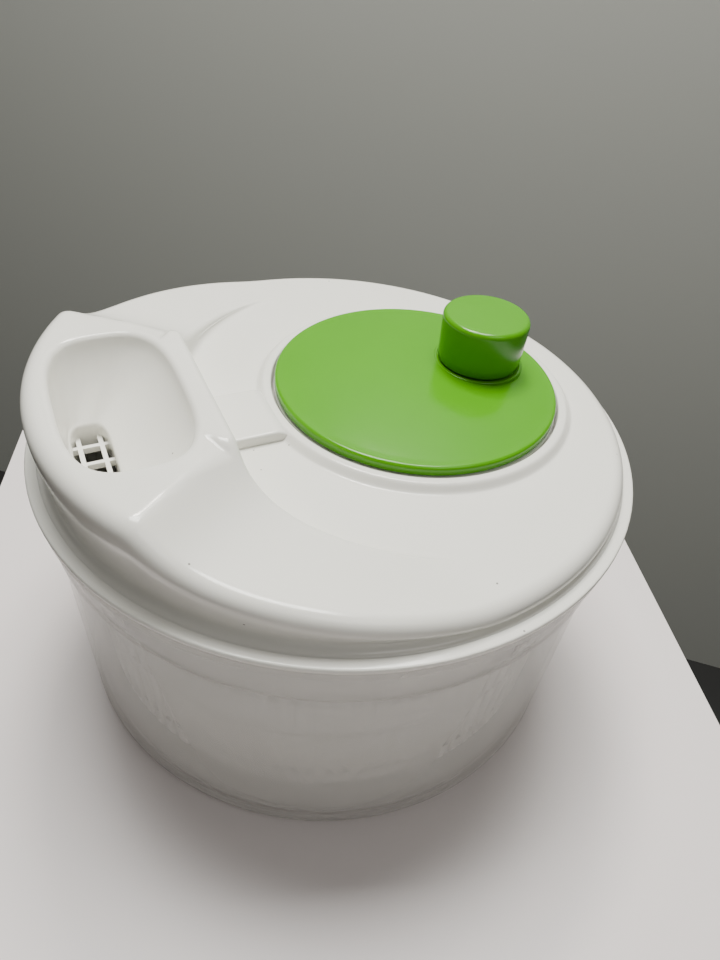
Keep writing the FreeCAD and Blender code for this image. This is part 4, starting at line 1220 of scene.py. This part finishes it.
    def base(self) -> bmesh.types.BMesh:
        """The basket's floor with its rounded foot and hub."""
        low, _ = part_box("basket")
        floor, soft = low.z, self.floor_round
        wall_inner = self.floor_radius - self.wall
        outline = [
            (self.hub_bore, floor), (self.floor_radius - soft, floor),
            *arc((self.floor_radius - soft, floor + soft), soft, -90, 0, 5),
            (wall_inner, floor + soft), (wall_inner - 1.2 * MM, floor + 2 * MM),
            (self.hub_radius, floor + 2 * MM), (self.hub_radius, floor + self.hub_height),
            (self.hub_bore, floor + self.hub_height),
        ]
        return turned_bmesh(outline, 0, 186)

    def build(self) -> None:
        """Builds the basket and dresses its bearing."""
        piece = finished_piece(self.slotted_wall(), "spin_basket", 40)
        thickened(piece, self.wall)
        ends = self.rim()
        joined_bmesh(ends, self.base())
        joined_bmesh(ends, self.collar())
        rings = finished_piece(ends, "spin_basket_rim_and_floor", 40)
        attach(rings, "basket")
        self.dresser.dress(rings, Finish.BASKET)
        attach(piece, "basket")
        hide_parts("basket")
        self.dresser.dress(piece, Finish.BASKET)
        self.dresser.dress_nodes(["basket_bearing"], Finish.ACETAL)
        log.info("basket with %d faces", len(piece.data.polygons))


# ------------------------------------------------------------------ floor, lights and camera


@dataclass
class Studio:
    """A pale plinth, a grey wall behind it, the lamps and the camera."""

    place: Vector = Vector((-0.1103, -0.2243, 0.3118))
    forward: Vector = Vector((0.3645, 0.6575, -0.6593))
    level_right: Vector = Vector((0.8746, -0.4848, 0.0))
    roll: float = 0.11
    lens: float = 27.14
    sensor: float = 36.0
    wall_distance: float = 0.75
    plinth_turn: float = 71.0
    plinth_width: float = 0.382
    plinth_back: float = 0.154
    plinth_length: float = 2.0

    def camera(self) -> None:
        """Stands the camera above and in front, rolled a little, and makes it the scene's."""
        ahead = self.forward.normalized()
        level = self.level_right.normalized()
        above = level.cross(ahead)
        right = level * math.cos(self.roll) + above * math.sin(self.roll)
        up = above * math.cos(self.roll) - level * math.sin(self.roll)
        data = bpy.data.cameras.new("camera")
        data.lens = self.lens
        data.sensor_width = self.sensor
        data.sensor_fit = "AUTO"
        data.clip_start = 0.01
        camera = bpy.data.objects.new("camera", data)
        turned = Matrix((right, up, -ahead)).transposed().to_4x4()
        camera.matrix_world = Matrix.Translation(self.place) @ turned
        bpy.context.scene.collection.objects.link(camera)
        bpy.context.scene.camera = camera

    def plain_surface(self, name: str, colour: str, roughness: float) -> bpy.types.Material:
        """A matt painted surface for the plinth, the wall or the floor."""
        material = bpy.data.materials.new(name)
        material.use_nodes = True
        material.node_tree.nodes.clear()
        place = add_node(material, "ShaderNodeTexCoord")
        grain = add_node(
            material, "ShaderNodeTexNoise", {"Scale": 1 / (2 * MM), "Detail": 3.0},
            {"Vector": place.outputs["Object"]},
        )
        bump = add_node(
            material, "ShaderNodeBump", {"Strength": 0.02, "Distance": 0.5 * MM},
            {"Height": grain.outputs["Fac"]},
        )
        shader = add_node(
            material, "ShaderNodeBsdfPrincipled",
            {"Base Color": linear_colour(colour), "Roughness": roughness, "IOR": 1.45},
            {"Normal": bump.outputs["Normal"]},
        )
        add_node(material, "ShaderNodeOutputMaterial", None, {"Surface": shader.outputs["BSDF"]})
        return material

    def surface(
        self, name: str, size: tuple[float, float], place: Matrix, colour: str, roughness: float
    ) -> bpy.types.Object:
        """One flat staged surface.

        Args:
            name: The surface's name.
            size: Its two sides.
            place: Where its middle stands and how it is turned.
            colour: Its colour.
            roughness: How matt it is.

        Returns:
            The surface.
        """
        bm = bmesh.new()
        bmesh.ops.create_grid(bm, x_segments=1, y_segments=1, size=0.5)
        bmesh.ops.scale(bm, vec=(*size, 1.0), verts=bm.verts)
        bmesh.ops.transform(bm, matrix=place, verts=bm.verts)
        piece = finished_piece(bm, name)
        piece.data.materials.append(self.plain_surface(name, colour, roughness))
        return piece

    def surroundings(self) -> None:
        """The pale plinth with its upright side in painted shade, the grey wall behind it and the dark
        floor, none of them the object's.
        """
        along = Matrix.Rotation(math.radians(self.plinth_turn), 4, "Z")
        upright = Matrix.Rotation(math.radians(90), 4, "X")
        middle = self.plinth_back - self.plinth_length / 2
        top = self.surface(
            "pale plinth", (self.plinth_length, self.plinth_width),
            along @ Matrix.Translation((middle, 0, 0)), "#E6DFDF", 0.42,
        )
        # The plinth's side takes the top's colour painted about a fifth darker: painted shade on its
        # upright face.
        side = self.surface(
            "plinth side painted shade", (self.plinth_length, 1.0),
            along @ Matrix.Translation((middle, -self.plinth_width / 2, -0.5)) @ upright,
            "#B9B4B3", 0.5,
        )
        away = Vector((self.forward.x, self.forward.y, 0)).normalized()
        facing = Matrix.Rotation(math.atan2(away.y, away.x) + math.radians(90 - 12), 4, "Z")
        wall = self.surface(
            "grey wall", (6.0, 5.0),
            Matrix.Translation(away * self.wall_distance) @ facing @ upright,
            "#B9BBB5", 0.6,
        )
        ground = self.surface("dark floor", (6.0, 6.0), Matrix.Translation((0, 0, -0.8)), "#2A2A2A", 0.7)

    def lamp(
        self, name: str, place: tuple[float, float, float], aim: tuple[float, float, float],
        size: tuple[float, float], power: float, colour: str = "#FFF8EE",
    ) -> None:
        """Hangs one rectangular lamp.

        Args:
            name: The lamp's name.
            place: Where it hangs.
            aim: The point it faces.
            size: Its two sides.
            power: Its power in watts.
            colour: Its colour.
        """
        data = bpy.data.lights.new(name, "AREA")
        data.shape = "RECTANGLE"
        data.size, data.size_y = size
        data.energy = power
        data.color = linear_colour(colour)[:3]
        lamp = bpy.data.objects.new(name, data)
        heading = (Vector(aim) - Vector(place)).to_track_quat("-Z", "Y")
        lamp.matrix_world = Matrix.Translation(place) @ heading.to_matrix().to_4x4()
        bpy.context.scene.collection.objects.link(lamp)

    def lights(self) -> None:
        """A ceiling lamp, a narrow strip, a weak fill from the front and a dim room."""
        self.lamp("ceiling_key", (0.1, 0.3, 1.5), (0, 0, 0.1), (0.8, 0.5), 32.0, "#FDFDF8")
        self.lamp("ceiling_strip", (0.17, 0.47, 1.15), (0.02, 0, 0.13), (0.24, 0.07), 6.0)
        self.lamp("front_fill", (0.3, -1.2, 1.9), (0, 0, 0.05), (1.0, 0.8), 6.0, "#FAF6F2")
        world = bpy.data.worlds.new("room")
        world.use_nodes = True
        world.node_tree.nodes["Background"].inputs["Color"].default_value = linear_colour("#A9A8A4")
        world.node_tree.nodes["Background"].inputs["Strength"].default_value = 0.42
        bpy.context.scene.world = world

    def build(self) -> None:
        """Sets the stage."""
        self.camera()
        self.surroundings()
        self.lights()
        log.info("stage set")


def main() -> None:
    """Builds the spinner's assemblies in order."""
    dresser = Dresser()
    Studio().build()
    Bowl(dresser).build()
    Basket(dresser).build()
    Driver(dresser).build()
    Lid(dresser).build()
    Crank(dresser).build()


if __name__ == "__main__":
    main()
